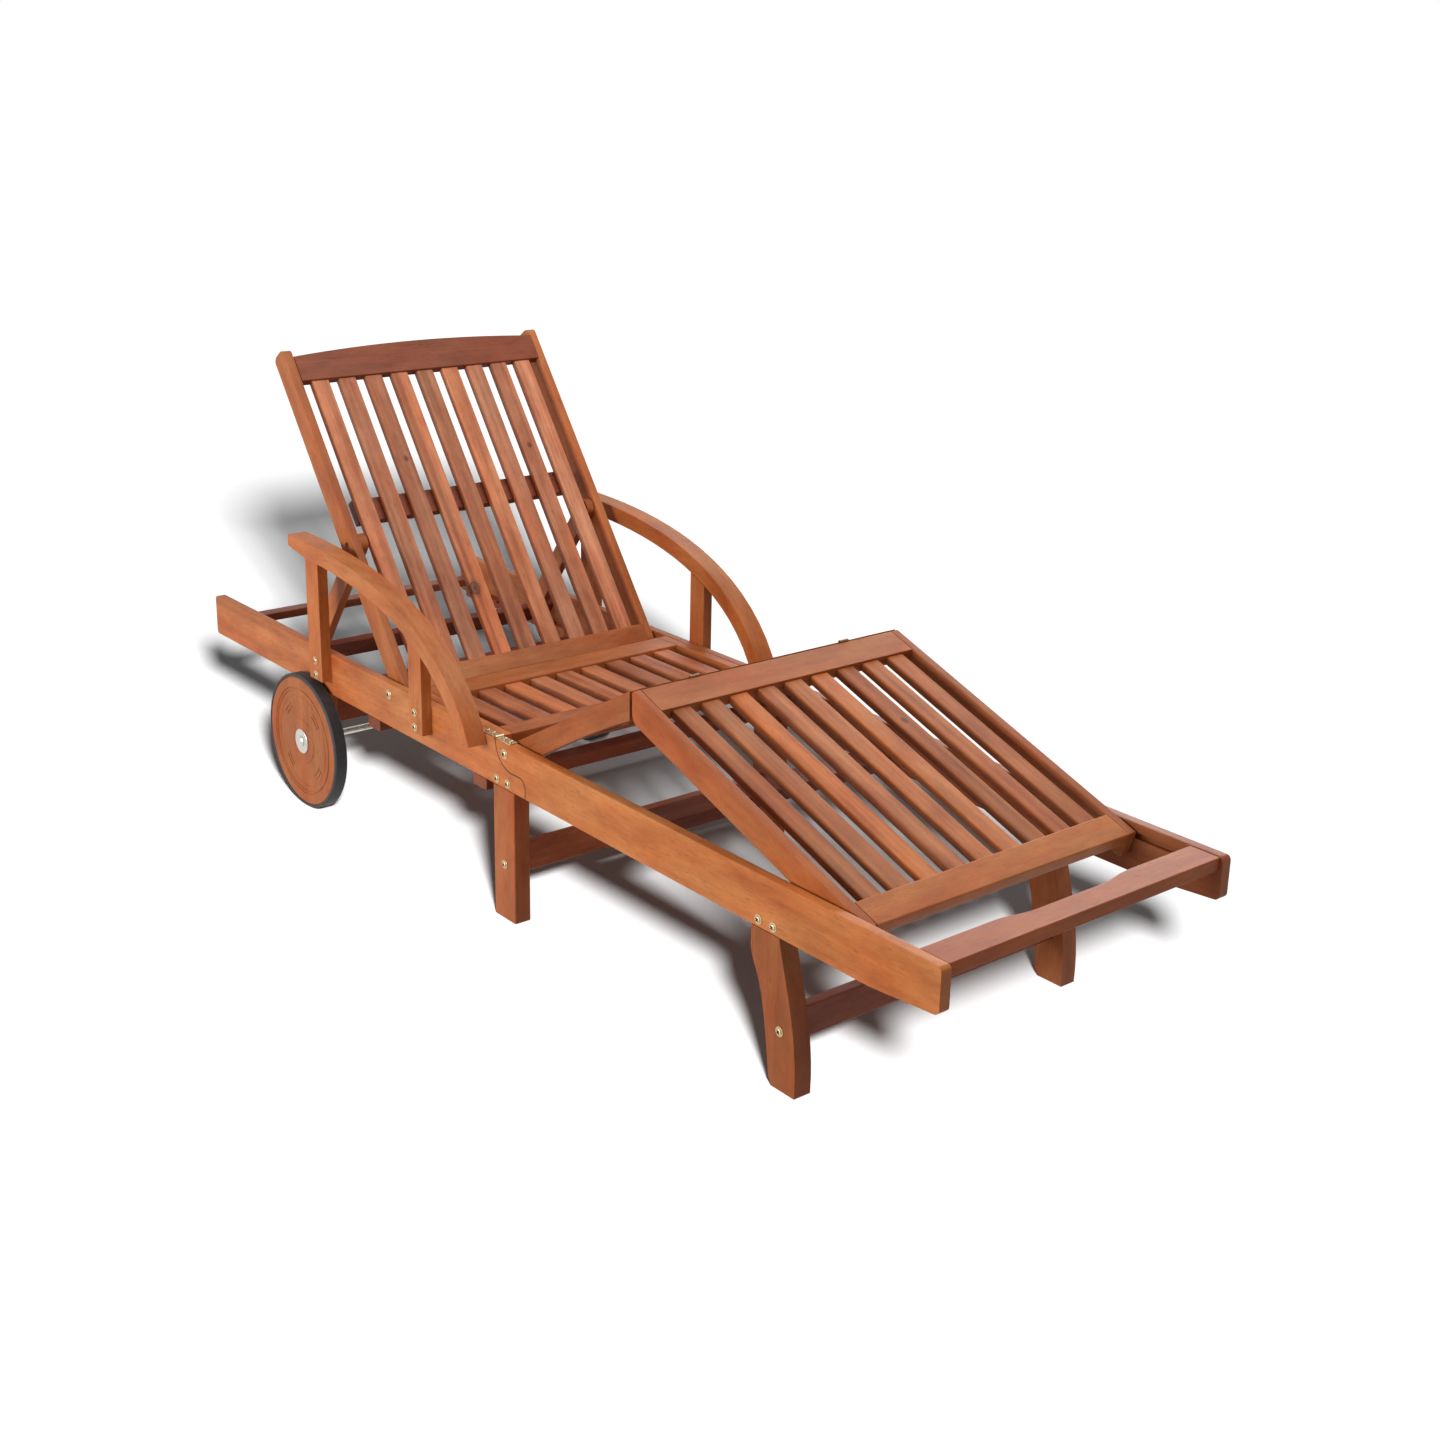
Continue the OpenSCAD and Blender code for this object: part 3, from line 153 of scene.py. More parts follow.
class Paint:
    """A node tree, the nodes that it gets and what it belongs to."""

    def __init__(self, tree, owner=None):
        self.tree = tree
        self.owner = owner
        tree.nodes.clear()

    def node(self, kind, settings, inputs, output=0):
        """Adds a node from its type, its settings and its sockets' links or values."""
        made = self.tree.nodes.new(kind)
        for key, value in settings.items():
            setattr(made, key, value)
        for key, value in inputs.items():
            if isinstance(value, Wire):
                self.tree.links.new(value.socket, made.inputs[key])
            else:
                made.inputs[key].default_value = value
        return Wire(self, made.outputs[output]) if made.outputs else None

    def vector(self, operation, *values):
        return self.node("ShaderNodeVectorMath", {"operation": operation}, dict(enumerate(values)))

    def combine(self, x, y, z):
        return self.node("ShaderNodeCombineXYZ", {}, {"X": x, "Y": y, "Z": z})

    def split(self, vector):
        """The three coordinates of a vector."""
        parts = self.node("ShaderNodeSeparateXYZ", {}, {"Vector": vector})
        return [Wire(self, socket) for socket in parts.socket.node.outputs]

    def place(self, kind="Object"):
        """The shaded point, or with Normal the way that it faces, in the object's own space."""
        return self.node("ShaderNodeTexCoord", {}, {}, kind)

    def noise(self, vector, scale, detail, roughness):
        inputs = {"Vector": vector, "Scale": scale, "Detail": detail, "Roughness": roughness}
        return self.node("ShaderNodeTexNoise", {}, inputs)

    def mix(self, factor, first, second):
        """A blend of two colours."""
        return self.node("ShaderNodeMix", {"data_type": "RGBA"}, {0: factor, 6: first, 7: second}, 2)

    def bump(self, height, strength, depth):
        inputs = {"Height": height, "Strength": strength, "Distance": depth}
        return self.node("ShaderNodeBump", {}, inputs)

    def finish(self, **inputs):
        """Adds the surface shader, with its sockets given by name, and the output."""
        named = {key.replace("_", " "): value for key, value in inputs.items()}
        return self.close(self.node("ShaderNodeBsdfPrincipled", {}, named))

    def close(self, result, kind="ShaderNodeOutputMaterial"):
        """Adds the tree's output and gives back what the tree belongs to."""
        self.node(kind, {}, {"Surface": result})
        return self.owner

    def seen(self):
        """1 where the camera, a reflection or clear matter shows the surface, 0 for the light it sheds."""
        rays = ("Is Camera Ray", "Is Glossy Ray", "Is Transmission Ray")
        camera, glossy, clear = [self.node("ShaderNodeLightPath", {}, {}, ray) for ray in rays]
        either = camera + glossy
        return either.math("ADD", either, clear, clamp=True)


def new_material(name):
    """The empty node tree of a new material."""
    material = bpy.data.materials.new(name)
    material.use_nodes = True
    return Paint(material.node_tree, material)


def rgba(colour):
    """A colour property as the four numbers that a socket takes."""
    return (*colour[:3], 1.0)


# Settings that a user would change


class LoungerWood(bpy.types.PropertyGroup):
    """Colours and figure of the oiled hardwood"""

    frame_light: bpy.props.FloatVectorProperty(
        name="Frame, light grain", description="Lightest grain of rails, legs and armrests",
        subtype="COLOR", size=3, min=0, max=1, default=(0.540, 0.172, 0.050))
    frame_dark: bpy.props.FloatVectorProperty(
        name="Frame, dark grain", description="Darkest grain of rails, legs and armrests",
        subtype="COLOR", size=3, min=0, max=1, default=(0.300, 0.073, 0.016))
    slat_light: bpy.props.FloatVectorProperty(
        name="Slats, light grain", description="Lightest grain of the slats",
        subtype="COLOR", size=3, min=0, max=1, default=(0.540, 0.182, 0.072))
    slat_dark: bpy.props.FloatVectorProperty(
        name="Slats, dark grain", description="Darkest grain of the slats",
        subtype="COLOR", size=3, min=0, max=1, default=(0.260, 0.066, 0.022))
    dark_light: bpy.props.FloatVectorProperty(
        name="Dark boards, light grain", description="Lightest grain of the crest rail and stretchers",
        subtype="COLOR", size=3, min=0, max=1, default=(0.330, 0.080, 0.032))
    dark_dark: bpy.props.FloatVectorProperty(
        name="Dark boards, dark grain", description="Darkest grain of the crest rail and stretchers",
        subtype="COLOR", size=3, min=0, max=1, default=(0.150, 0.033, 0.012))
    pore: bpy.props.FloatVectorProperty(
        name="Pores", description="Colour of pores and knots",
        subtype="COLOR", size=3, min=0, max=1, default=(0.070, 0.018, 0.009))
    ring_width: bpy.props.FloatProperty(
        name="Ring width", description="Width of a pair of growth rings",
        subtype="DISTANCE", unit="LENGTH", min=0.001, max=0.03, default=0.008)
    sheen: bpy.props.FloatProperty(
        name="Roughness", description="Roughness of the oiled surface", min=0.1, max=0.9, default=0.48)
    board_change: bpy.props.FloatProperty(
        name="Difference between boards", min=0, max=1, default=0.30,
        description="How much lighter or darker one board is than the next")
    slat_change: bpy.props.FloatProperty(
        name="Difference between slats", min=0, max=1, default=0.55,
        description="How much lighter or darker one slat is than the next")
    edge: bpy.props.FloatProperty(
        name="Softened edge", description="Width of the sanded edges of each board",
        subtype="DISTANCE", unit="LENGTH", min=0.0002, max=0.004, default=0.0014)


class LoungerMetal(bpy.types.PropertyGroup):
    """Colours of the metal and the rubber"""

    brass: bpy.props.FloatVectorProperty(
        name="Brass plating", description="Colour of screws, bolts and fold hinges",
        subtype="COLOR", size=3, min=0, max=1, default=(0.60, 0.47, 0.29))
    zinc: bpy.props.FloatVectorProperty(
        name="Zinc plating", description="Colour of axle, washers and caps",
        subtype="COLOR", size=3, min=0, max=1, default=(0.62, 0.60, 0.55))
    # The old brass colour is also painted into the screws' cross recesses as their shade
    old_brass_and_recess_shade: bpy.props.FloatVectorProperty(
        name="Old brass", description="Colour of the knee hinges and the small pins",
        subtype="COLOR", size=3, min=0, max=1, default=(0.20, 0.12, 0.07))
    rubber: bpy.props.FloatVectorProperty(
        name="Rubber", description="Colour of the tyres",
        subtype="COLOR", size=3, min=0, max=1, default=(0.020, 0.019, 0.020))


class LoungerStage(bpy.types.PropertyGroup):
    """Floor, lamps and camera"""

    floor_size: bpy.props.FloatProperty(
        name="Floor", description="Side of the floor", subtype="DISTANCE", unit="LENGTH",
        min=5, max=200, default=60)
    top_power: bpy.props.FloatProperty(
        name="Top lamp", description="Power of the large lamp above the lounger", subtype="POWER",
        unit="POWER", min=0, max=2000, default=66)
    near_power: bpy.props.FloatProperty(
        name="Near lamp", description="Power of the low lamp beside the lounger", subtype="POWER",
        unit="POWER", min=0, max=2000, default=98)
    far_power: bpy.props.FloatProperty(
        name="Far lamp", description="Power of the lamp behind the lounger", subtype="POWER",
        unit="POWER", min=0, max=2000, default=55)
    floor_light: bpy.props.FloatProperty(
        name="Floor light", description="Strength of the lamp that draws the lounger's shadow on the floor",
        min=0, max=1000, default=70)
    floor_back: bpy.props.FloatProperty(
        name="Floor bounce", description="Share of the light that the floor sheds back on the lounger",
        min=0, max=1, default=0.20)
    sky: bpy.props.FloatProperty(
        name="Sky", description="Strength of the even light from all round", min=0, max=2, default=0.15)
    lens: bpy.props.FloatProperty(
        name="Lens", description="Focal length of the camera", subtype="DISTANCE_CAMERA",
        unit="CAMERA", min=20, max=200, default=48.69)


GROUPS = {"lounger_wood": LoungerWood, "lounger_metal": LoungerMetal, "lounger_stage": LoungerStage}


# Wood


# A board's cell in its own space and where the first cell starts; each cell gets its own tone
BIG = 9.0
ONE_BOARD = ((BIG, BIG, BIG), (-BIG / 2, -BIG / 2, -BIG / 2))
SIDE_PAIR = ((BIG, BIG, BIG), (-BIG / 2, 0.0, -BIG / 2))
BATTEN_PAIR = ((0.2, BIG, BIG), (-0.3, -BIG / 2, -BIG / 2))
SLAT_PITCH = 0.05355
SLATS = ((BIG, SLAT_PITCH, BIG), (-BIG / 2, -SLAT_PITCH / 2, -BIG / 2))

# How far a seed moves a board's cell before its dice are thrown
BOARD_DICE = (3.17, 1.31, 7.9)

# Which coordinates run along, across and through the grain
GRAIN_ORDER = {"X": (0, 1, 2), "Y": (1, 0, 2), "Z": (2, 0, 1)}

# From which facing along the grain a face begins to count as end grain, and is fully end grain
END_FACING = (0.80, 0.94)

# The armrests' bend: its centre in side view and its middle radius
ARC_X = -0.270
ARC_Z = 0.238
ARC_REACH = 0.24

# Knots in a panel's flat space: place and radius in metres
BACK_KNOTS = (
    (-0.155, -0.063, 0.014, 0.013), (-0.420, -0.104, 0.018, 0.005), (-0.415, 0.160, 0.018, 0.005))
CALF_KNOTS = ((0.200, 0.107, -0.005, 0.006),)

# A knot's stretch along, across and through the grain, and how many radii it reaches
KNOT_STRETCH = (0.75, 1.0, 0.35)
KNOT_REACH = 2.2

# The joint between rear and front side rails: a hollow about a centre, then the nose's rounded end,
# and the width and strength of its dark line
SEAM_X = 0.048
SEAM_Z = 0.305
SEAM_RADIUS = 0.0453
NOSE_END = 0.0863
NOSE_CORNER = 0.0153
SEAM_WIDTH = (0.0020, 0.0008)
SEAM_SHADE = 0.75

# Noises in the wood: scales along and across the grain, an offset along it, whether the board's
# slide moves it, and its detail and roughness
Layer = namedtuple("Layer", "along side start slides detail rough")
STREAK = Layer(1.1, 62.0, 0.0, True, 3.0, 0.55)
CLOUD = Layer(9.0, 26.0, 0.0, True, 4.0, 0.62)
BAND = Layer(0.7, 28.0, 5.0, True, 2.0, 0.50)
BLUSH = Layer(4.0, 15.0, 3.0, True, 3.0, 0.60)
FIBRE = Layer(14.0, 520.0, 0.0, False, 2.0, 0.70)
FLECK = Layer(60.0, 520.0, 0.0, False, 2.0, 0.60)
BOARD_SLIDE = 7.0

# The warp and the rings: scales along and across, or out and along, then scale, detail and roughness
WARP_SCALE = (1.6, 7.0)
WARP_NOISE = (1.0, 2.0, 0.5)
RING_SCALE = (2.0, 0.25)
RING_NOISE = (1.0, 3.0, 0.6)

# The heart of the log that a board was sawn from: scatter and depth, and how far the warp moves it
HEART_SIDE = (0.05, 0.035)
HEART_DEEP = (0.09, 0.045, 0.02)

# How far a knot pushes the rings outwards
KNOT_SWELL = 0.02

# Shares of each noise in the mix of light and dark grain
RING_SHARE = 0.50
CLOUD_SHARE = 1.80
FIBRE_SHARE = 0.30
FIGURE_START = 0.80
FRAME_STREAKS = 0.45
SLAT_STREAKS = 1.9

# Changes of hue, from the blush in a board and from one board to the next
GREEN_BLUSH = 0.9
GREEN_CHANGE = 0.11
BLUE_BLUSH = 1.6
BLUE_CHANGE = 0.34

# Dark marks: where each noise begins and ends to show, how strongly, and the whorls round a knot
BAND_MARK = (0.58, 0.76)
BAND_SHADE = 0.45
BAND_DARK = 0.8
PORE_MARK = (0.56, 0.74)
PORE_SHADE = 0.32
END_SHADE = 0.45
WHORL_TURNS = 26.0
WHORL_WARP = 3.0
WHORL_SHADE = 0.18
KNOT_HEART = (0.35, 0.95)
KNOT_SHADE = 0.8

# Sheen, roughness and relief of the wood, from its fibres, pores, streaks and rings
WOOD_SPECULAR = 0.20
FIBRE_ROUGH = 0.16
PORE_ROUGH = 0.12
STREAK_ROUGH = 0.10
FIBRE_RISE = 0.5
RING_RISE = 0.4
PORE_DROP = 0.6
WOOD_BUMP = (0.22, 0.0006)

# Each board's lightness, green and blue beside the rest of the wood: partly the boards' own differences,
# partly painted light and shade, such as the paler painted sheen on the backrest slats and the darker
# painted shade on the thigh and calf stiles
PLAIN = (1.0, 1.0, 1.0)
BOARD_TONES_AND_PAINTED_LIGHT = {
    "rear_rail_right": (1.20, 1.03, 1.08), "front_rail_right": (1.06, 1.11, 1.15),
    "front_rail_left": (0.66, 0.88, 0.90), "backrest_crest_rail": (0.95, 1.02, 1.02),
    "backrest_stile_right": (0.84, 0.96, 0.94), "backrest_low_rail": (1.04, 1.16, 1.45),
    "backrest_slats": (1.24, 1.12, 1.35), "seat_front_rail": (0.82, 0.94, 0.95),
    "thigh_stiles": (0.70, 0.92, 0.90), "thigh_slats": (1.00, 0.96, 0.80),
    "calf_slats": (1.00, 0.96, 0.74), "calf_stiles": (0.86, 0.92, 0.90),
    "calf_low_rail": (0.94, 1.0, 0.85), "foot_handle": (0.86, 0.76, 0.38),
    "middle_legs": (0.82, 0.90, 0.88), "front_leg_left": (0.74, 0.95, 0.95),
    "front_leg_right": (0.74, 0.95, 0.90), "middle_stretcher": (1.80, 1.0, 0.85),
    "wheel_disc_left": (0.78, 0.96, 0.94), "wheel_disc_right": (0.78, 0.96, 0.94),
}


def grain_ways(paint, grain, place):
    """Coordinates along, across and through a board's grain."""
    parts = paint.split(place)
    if grain != "ARC":
        return [parts[way] for way in GRAIN_ORDER[grain]]
    x, y, z = parts
    ahead = (x - ARC_X).at_least(0.0)
    above = z - ARC_Z
    along = x.at_most(ARC_X) + ahead.math("ARCTAN2", ahead, above) * ARC_REACH
    return [along, y, reach(ahead, above)]


def board_space(paint, grain, lean, boards, seed):
    """Coordinates along, across and through the grain, three dice for each board, and its ends."""
    place = paint.place()
    facing = paint.place("Normal")
    if lean:
        pivot, angle = lean
        turn = {"Rotation": (0.0, angle, 0.0)}
        kind = {"vector_type": "TEXTURE"}
        place = paint.node("ShaderNodeMapping", kind, {"Vector": place, "Location": pivot, **turn})
        facing = paint.node("ShaderNodeMapping", kind, {"Vector": facing, **turn})
    cell, start = boards
    number = paint.vector("FLOOR", paint.vector("DIVIDE", paint.vector("SUBTRACT", place, start), cell))
    shifted = paint.vector("ADD", number, [seed * factor for factor in BOARD_DICE])
    dice = paint.split(paint.node("ShaderNodeTexWhiteNoise", {}, {"Vector": shifted}, "Color"))
    end_way = GRAIN_ORDER.get(grain, GRAIN_ORDER["X"])[0]
    ends = paint.split(facing)[end_way].size().step(*END_FACING)
    return grain_ways(paint, grain, place), dice, ends


def knot_mask(ways, knots):
    """How far the surface is inside any knot, from 0 to 1."""
    masks = []
    for *centre, radius in knots:
        parts = [(way - at) * (stretch / radius) for way, at, stretch in zip(ways, centre, KNOT_STRETCH)]
        masks.append(reach(*parts).step(KNOT_REACH, 0.0))
    mask = masks[0]
    for other in masks[1:]:
        mask = mask.at_least(other)
    return mask


def seam_mask(paint):
    """1 at the curved joint between the rear and front side rails, and 0 a little away from it."""
    x, _, z = paint.split(paint.place())
    hollow = reach((x - SEAM_X).at_most(0.0), z - SEAM_Z) - SEAM_RADIUS
    past = x - (NOSE_END - NOSE_CORNER)
    above = z - (SEAM_Z - SEAM_RADIUS - NOSE_CORNER)
    nose = reach(past.at_least(0.0), above.at_least(0.0)) - NOSE_CORNER
    miss = hollow + (nose - hollow) * past.math("GREATER_THAN", past, 0.0)
    return miss.size().step(*SEAM_WIDTH)


def grain_noise(paint, ways, slide, layer):
    """One of the wood's noises, drawn out along the grain."""
    along, across, through = ways
    x = along * layer.along
    y = across * layer.side
    if layer.start:
        x = x + layer.start
    if layer.slides:
        y = y + slide
    return paint.noise(paint.combine(x, y, through * layer.side), 1.0, layer.detail, layer.rough)


def growth_rings(paint, ways, dice, slide, knot, ring_width):
    """Rings about the heart of the log, and the warp that bends them."""
    along, across, through = ways
    slow, quick = WARP_SCALE
    bent = paint.combine(along * slow, across * quick, through * quick + slide)
    warp = paint.noise(bent, *WARP_NOISE) - 0.5
    scatter, side_warp = HEART_SIDE
    side = across + (dice[1] - 0.5) * scatter + warp * side_warp
    spread, depth, deep_warp = HEART_DEEP
    deep = through + dice[2] * spread + depth + warp * deep_warp
    radius = reach(side, deep)
    if knot:
        radius = radius + knot * KNOT_SWELL
    out_scale, along_scale = RING_SCALE
    sawn = paint.combine(radius * (out_scale / ring_width), along * along_scale, 0.0)
    return paint.noise(sawn, *RING_NOISE), warp


def board_colour(paint, colour, ways, dice, slide, tint_and_painted_light, change):
    """The grain's colour with the tone of its board, which holds painted light and shade as well, and
    patches of another hue.
    """
    lightness, green, blue = tint_and_painted_light
    tone = (dice[0] - 0.5) * (change * lightness) + lightness
    blush = grain_noise(paint, ways, slide, BLUSH) - 0.5
    greens = tone * (blush * (GREEN_BLUSH * green) + (dice[2] - 0.5) * GREEN_CHANGE + green)
    blues = tone * (blush * (BLUE_BLUSH * blue) + (dice[2] - 0.5) * BLUE_CHANGE + blue)
    return paint.vector("MULTIPLY", colour, paint.combine(tone, greens, blues))


def wood(name, tone, grain="X", lean=None, boards=ONE_BOARD, seed=1, knots=(), tint_and_painted_light=PLAIN,
         streaks=FRAME_STREAKS, seam=False):
    """Oiled hardwood whose grain follows the boards."""
    settings = bpy.context.scene.lounger_wood
    light = getattr(settings, tone + "_light")
    dark = getattr(settings, tone + "_dark")
    pore_colour = rgba(settings.pore)
    paint = new_material(name)
    ways, dice, ends = board_space(paint, grain, lean, boards, seed)
    knot = knot_mask(ways, knots) if knots else None
    slide = dice[0] * BOARD_SLIDE + seed
    ways[0] = ways[0] + slide
    rings, warp = growth_rings(paint, ways, dice, slide, knot, settings.ring_width)
    streak, cloud, band, fibre, fleck = [
        grain_noise(paint, ways, slide, layer) for layer in (STREAK, CLOUD, BAND, FIBRE, FLECK)]
    pore = fleck.step(*PORE_MARK)
    figure = rings * RING_SHARE + (streak - 0.5) * streaks + cloud * CLOUD_SHARE
    figure = figure + fibre * FIBRE_SHARE - FIGURE_START
    colour = paint.mix(figure, rgba(dark), rgba(light))
    change = settings.slat_change if boards is SLATS else settings.board_change
    colour = board_colour(paint, colour, ways, dice, slide, tint_and_painted_light, change)
    band_colour = rgba([part * BAND_DARK for part in dark])
    colour = paint.mix(band.step(*BAND_MARK) * BAND_SHADE, colour, band_colour)
    colour = paint.mix(pore * PORE_SHADE, colour, pore_colour)
    colour = paint.mix(ends * END_SHADE, colour, rgba(dark))
    if seam:
        colour = paint.mix(seam_mask(paint) * SEAM_SHADE, colour, pore_colour)
    if knot:
        whorl = (knot * WHORL_TURNS + warp * WHORL_WARP).sine() * WHORL_SHADE * knot
        colour = paint.mix(whorl + knot.step(*KNOT_HEART) * KNOT_SHADE, colour, pore_colour)
    rough = (fibre - 0.5) * FIBRE_ROUGH + pore * PORE_ROUGH
    rough = rough + (streak - 0.5) * STREAK_ROUGH + settings.sheen
    normal = paint.bump(fibre * FIBRE_RISE + rings * RING_RISE - pore * PORE_DROP, *WOOD_BUMP)
    return paint.finish(Base_Color=colour, Roughness=rough, Normal=normal, Specular_IOR_Level=WOOD_SPECULAR)


# Metal and rubber


# Each noise's scale, detail and roughness
PATCHES = (180.0, 3.0, 0.6)
SCRATCHES = (1.0, 2.0, 0.5)
BLOOM = (90.0, 4.0, 0.6)
RUBBER_GRAIN = (1800.0, 2.0, 0.5)

# How the scratches are drawn out one way, where patches and bloom begin and end, and their strength
SCRATCH_SCALES = (300.0, 2500.0, 900.0)
PATCH_MARK = (0.35, 0.75)
BLOOM_MARK = (0.4, 0.8)
MARK_SHARE = 0.5

# How dark a dull patch is, and how much paler the dusty bloom is than the rubber, as gain and lift
DULL_METAL = 0.55
DUSTY_RUBBER = (2.6, 0.01)

# Shares of the noises in the roughness, its lowest value, and the bumps' strength and depth
PATCH_ROUGH = 0.22
SCRATCH_ROUGH = 0.10
METAL_ROUGH = 0.16
METAL_BUMP = (0.12, 0.0002)
BLOOM_ROUGH = 0.2
RUBBER_ROUGH = 0.55
RUBBER_BUMP = (0.25, 0.0003)


def plating(name, colour):
    """Bright plated steel with fine scratches and dull patches."""
    paint = new_material(name)
    place = paint.place()
    patches = paint.noise(place, *PATCHES)
    scratches = paint.noise(paint.vector("MULTIPLY", place, SCRATCH_SCALES), *SCRATCHES)
    dull = rgba([part * DULL_METAL for part in colour])
    shade = paint.mix(patches.step(*PATCH_MARK) * MARK_SHARE, rgba(colour), dull)
    rough = patches * PATCH_ROUGH + scratches * SCRATCH_ROUGH + METAL_ROUGH
    normal = paint.bump(scratches, *METAL_BUMP)
    return paint.finish(Base_Color=shade, Metallic=1.0, Roughness=rough, Normal=normal)


def rubber():
    """Black rubber with a fine dusty bloom."""
    paint = new_material("tyre rubber")
    place = paint.place()
    bloom = paint.noise(place, *BLOOM)
    grain = paint.noise(place, *RUBBER_GRAIN)
    base = bpy.context.scene.lounger_metal.rubber
    gain, lift = DUSTY_RUBBER
    dusty = rgba([part * gain + lift for part in base])
    colour = paint.mix(bloom.step(*BLOOM_MARK) * MARK_SHARE, rgba(base), dusty)
    rough = bloom * BLOOM_ROUGH + RUBBER_ROUGH
    return paint.finish(Base_Color=colour, Roughness=rough, Normal=paint.bump(grain, *RUBBER_BUMP))


# Board edges


# Angles between faces: shading is smooth below, edges are sanded above, and faces are one flat below
SMOOTH_BELOW = math.radians(38)
SANDED_ABOVE = math.radians(40)
FLAT_BELOW = 0.004

# How near two corners are when they are welded, and the faces across a sanded edge
WELD_REACH = 0.00001
SANDED_STEPS = 3


def shading_group():
    """Geometry nodes that smooth the shading except at sharp edges."""
    name = "lounger smooth shading"
    if name in bpy.data.node_groups:
        return bpy.data.node_groups[name]
    group = bpy.data.node_groups.new(name, "GeometryNodeTree")
    for way in ("INPUT", "OUTPUT"):
        group.interface.new_socket("Geometry", in_out=way, socket_type="NodeSocketGeometry")
    paint = Paint(group)
    source = paint.node("NodeGroupInput", {}, {})
    clear = paint.node("GeometryNodeRemoveAttribute", {}, {"Geometry": source, "Name": "custom_normal"})
    angle = paint.node("GeometryNodeInputMeshEdgeAngle", {}, {})
    soft = paint.node("FunctionNodeCompare", {"operation": "LESS_THAN"}, {"A": angle, "B": SMOOTH_BELOW})
    inputs = {"Geometry": clear, "Shade Smooth": soft}
    edges = paint.node("GeometryNodeSetShadeSmooth", {"domain": "EDGE"}, inputs)
    faces = paint.node("GeometryNodeSetShadeSmooth", {"domain": "FACE"}, {"Geometry": edges})
    paint.node("NodeGroupOutput", {}, {0: faces})
    return group


def soften(obj, width):
    """Welds a board's mesh, sands its sharp edges and smooths its shading."""
    weld = obj.modifiers.new("weld", "WELD")
    weld.merge_threshold = WELD_REACH
    flat = obj.modifiers.new("flat faces", "DECIMATE")
    flat.decimate_type = "DISSOLVE"
    flat.angle_limit = FLAT_BELOW
    sand = obj.modifiers.new("sanded edges", "BEVEL")
    sand.width = width
    sand.segments = SANDED_STEPS
    sand.limit_method = "ANGLE"
    sand.angle_limit = SANDED_ABOVE
    sand.use_clamp_overlap = True
    shade = obj.modifiers.new("shading", "NODES")
    shade.node_group = shading_group()
    obj.modifiers.new("even normals", "WEIGHTED_NORMAL").keep_sharp = True


def dress(names, material, edge=None):
    """Gives CAD nodes their material and, for boards, their softened edges."""
    for name in names:
        obj = NODES[name]
        obj.data.materials.clear()
        obj.data.materials.append(material)
        if edge:
            soften(obj, edge)


def dress_boards(names, tone, slot, **layout):
    """Gives each of the nodes its own wood, with the tint of its board, which holds painted light and shade
    as well.
    """
    for index, name in enumerate(names):
        seed = len(name) * 1.7 + index
        title = name.replace("_", " ") + " wood"
        material = wood(title, tone, seed=seed, tint_and_painted_light=BOARD_TONES_AND_PAINTED_LIGHT.get(name, PLAIN), **layout)
        dress([name], material, bpy.context.scene.lounger_wood.edge)


def dress_slats(name, **layout):
    """Gives a panel's slats their wood, in which each slat has its own tone."""
    dress_boards([name], "slat", "hardwood_slats", streaks=SLAT_STREAKS, boards=SLATS, **layout)


class LOUNGER_OT_rails(bpy.types.Operator):
    """Dress the side rails, battens and low boards"""

    bl_idname = "lounger.rails"
    bl_label = "Rails"

    def execute(self, context):
        rails = ["rear_rail_left", "rear_rail_right", "front_rail_left", "front_rail_right"]
        dress_boards(rails, "frame", "hardwood", seam=True)
        dress_boards(["head_batten", "axle_board", "low_cross_board"], "dark", "hardwood_dark", grain="Y")
        dress_boards(["under_battens"], "dark", "hardwood_slats", grain="Y", boards=BATTEN_PAIR)
        dress_boards(["prop_racks"], "dark", "hardwood_dark", boards=SIDE_PAIR)
        return {"FINISHED"}


class LOUNGER_OT_legs(bpy.types.Operator):
    """Dress the legs and their stretchers"""

    bl_idname = "lounger.legs"
    bl_label = "Legs"

    def execute(self, context):
        legs = ["wheel_legs", "middle_legs", "front_leg_left", "front_leg_right"]
        dress_boards(legs, "frame", "hardwood", grain="Z", boards=SIDE_PAIR)
        dress_boards(["middle_stretcher", "front_stretcher"], "dark", "hardwood_dark", grain="Y")
        return {"FINISHED"}


class LOUNGER_OT_armrests(bpy.types.Operator):
    """Dress the armrests and their posts"""

    bl_idname = "lounger.armrests"
    bl_label = "Armrests"

    def execute(self, context):
        dress_boards(["armrest_left", "armrest_right"], "frame", "hardwood", grain="ARC")
        posts = ["rear_arm_posts", "front_arm_posts"]
        dress_boards(posts, "frame", "hardwood", grain="Z", boards=SIDE_PAIR)
        return {"FINISHED"}


class LOUNGER_OT_seat(bpy.types.Operator):
    """Dress the seat"""

    bl_idname = "lounger.seat"
    bl_label = "Seat"

    def execute(self, context):
        dress_boards(["seat_rear_rail", "seat_front_rail"], "frame", "hardwood", grain="Y")
        dress_boards(["seat_side_strips"], "frame", "hardwood", boards=SIDE_PAIR)
        dress_slats("seat_slats")
        return {"FINISHED"}


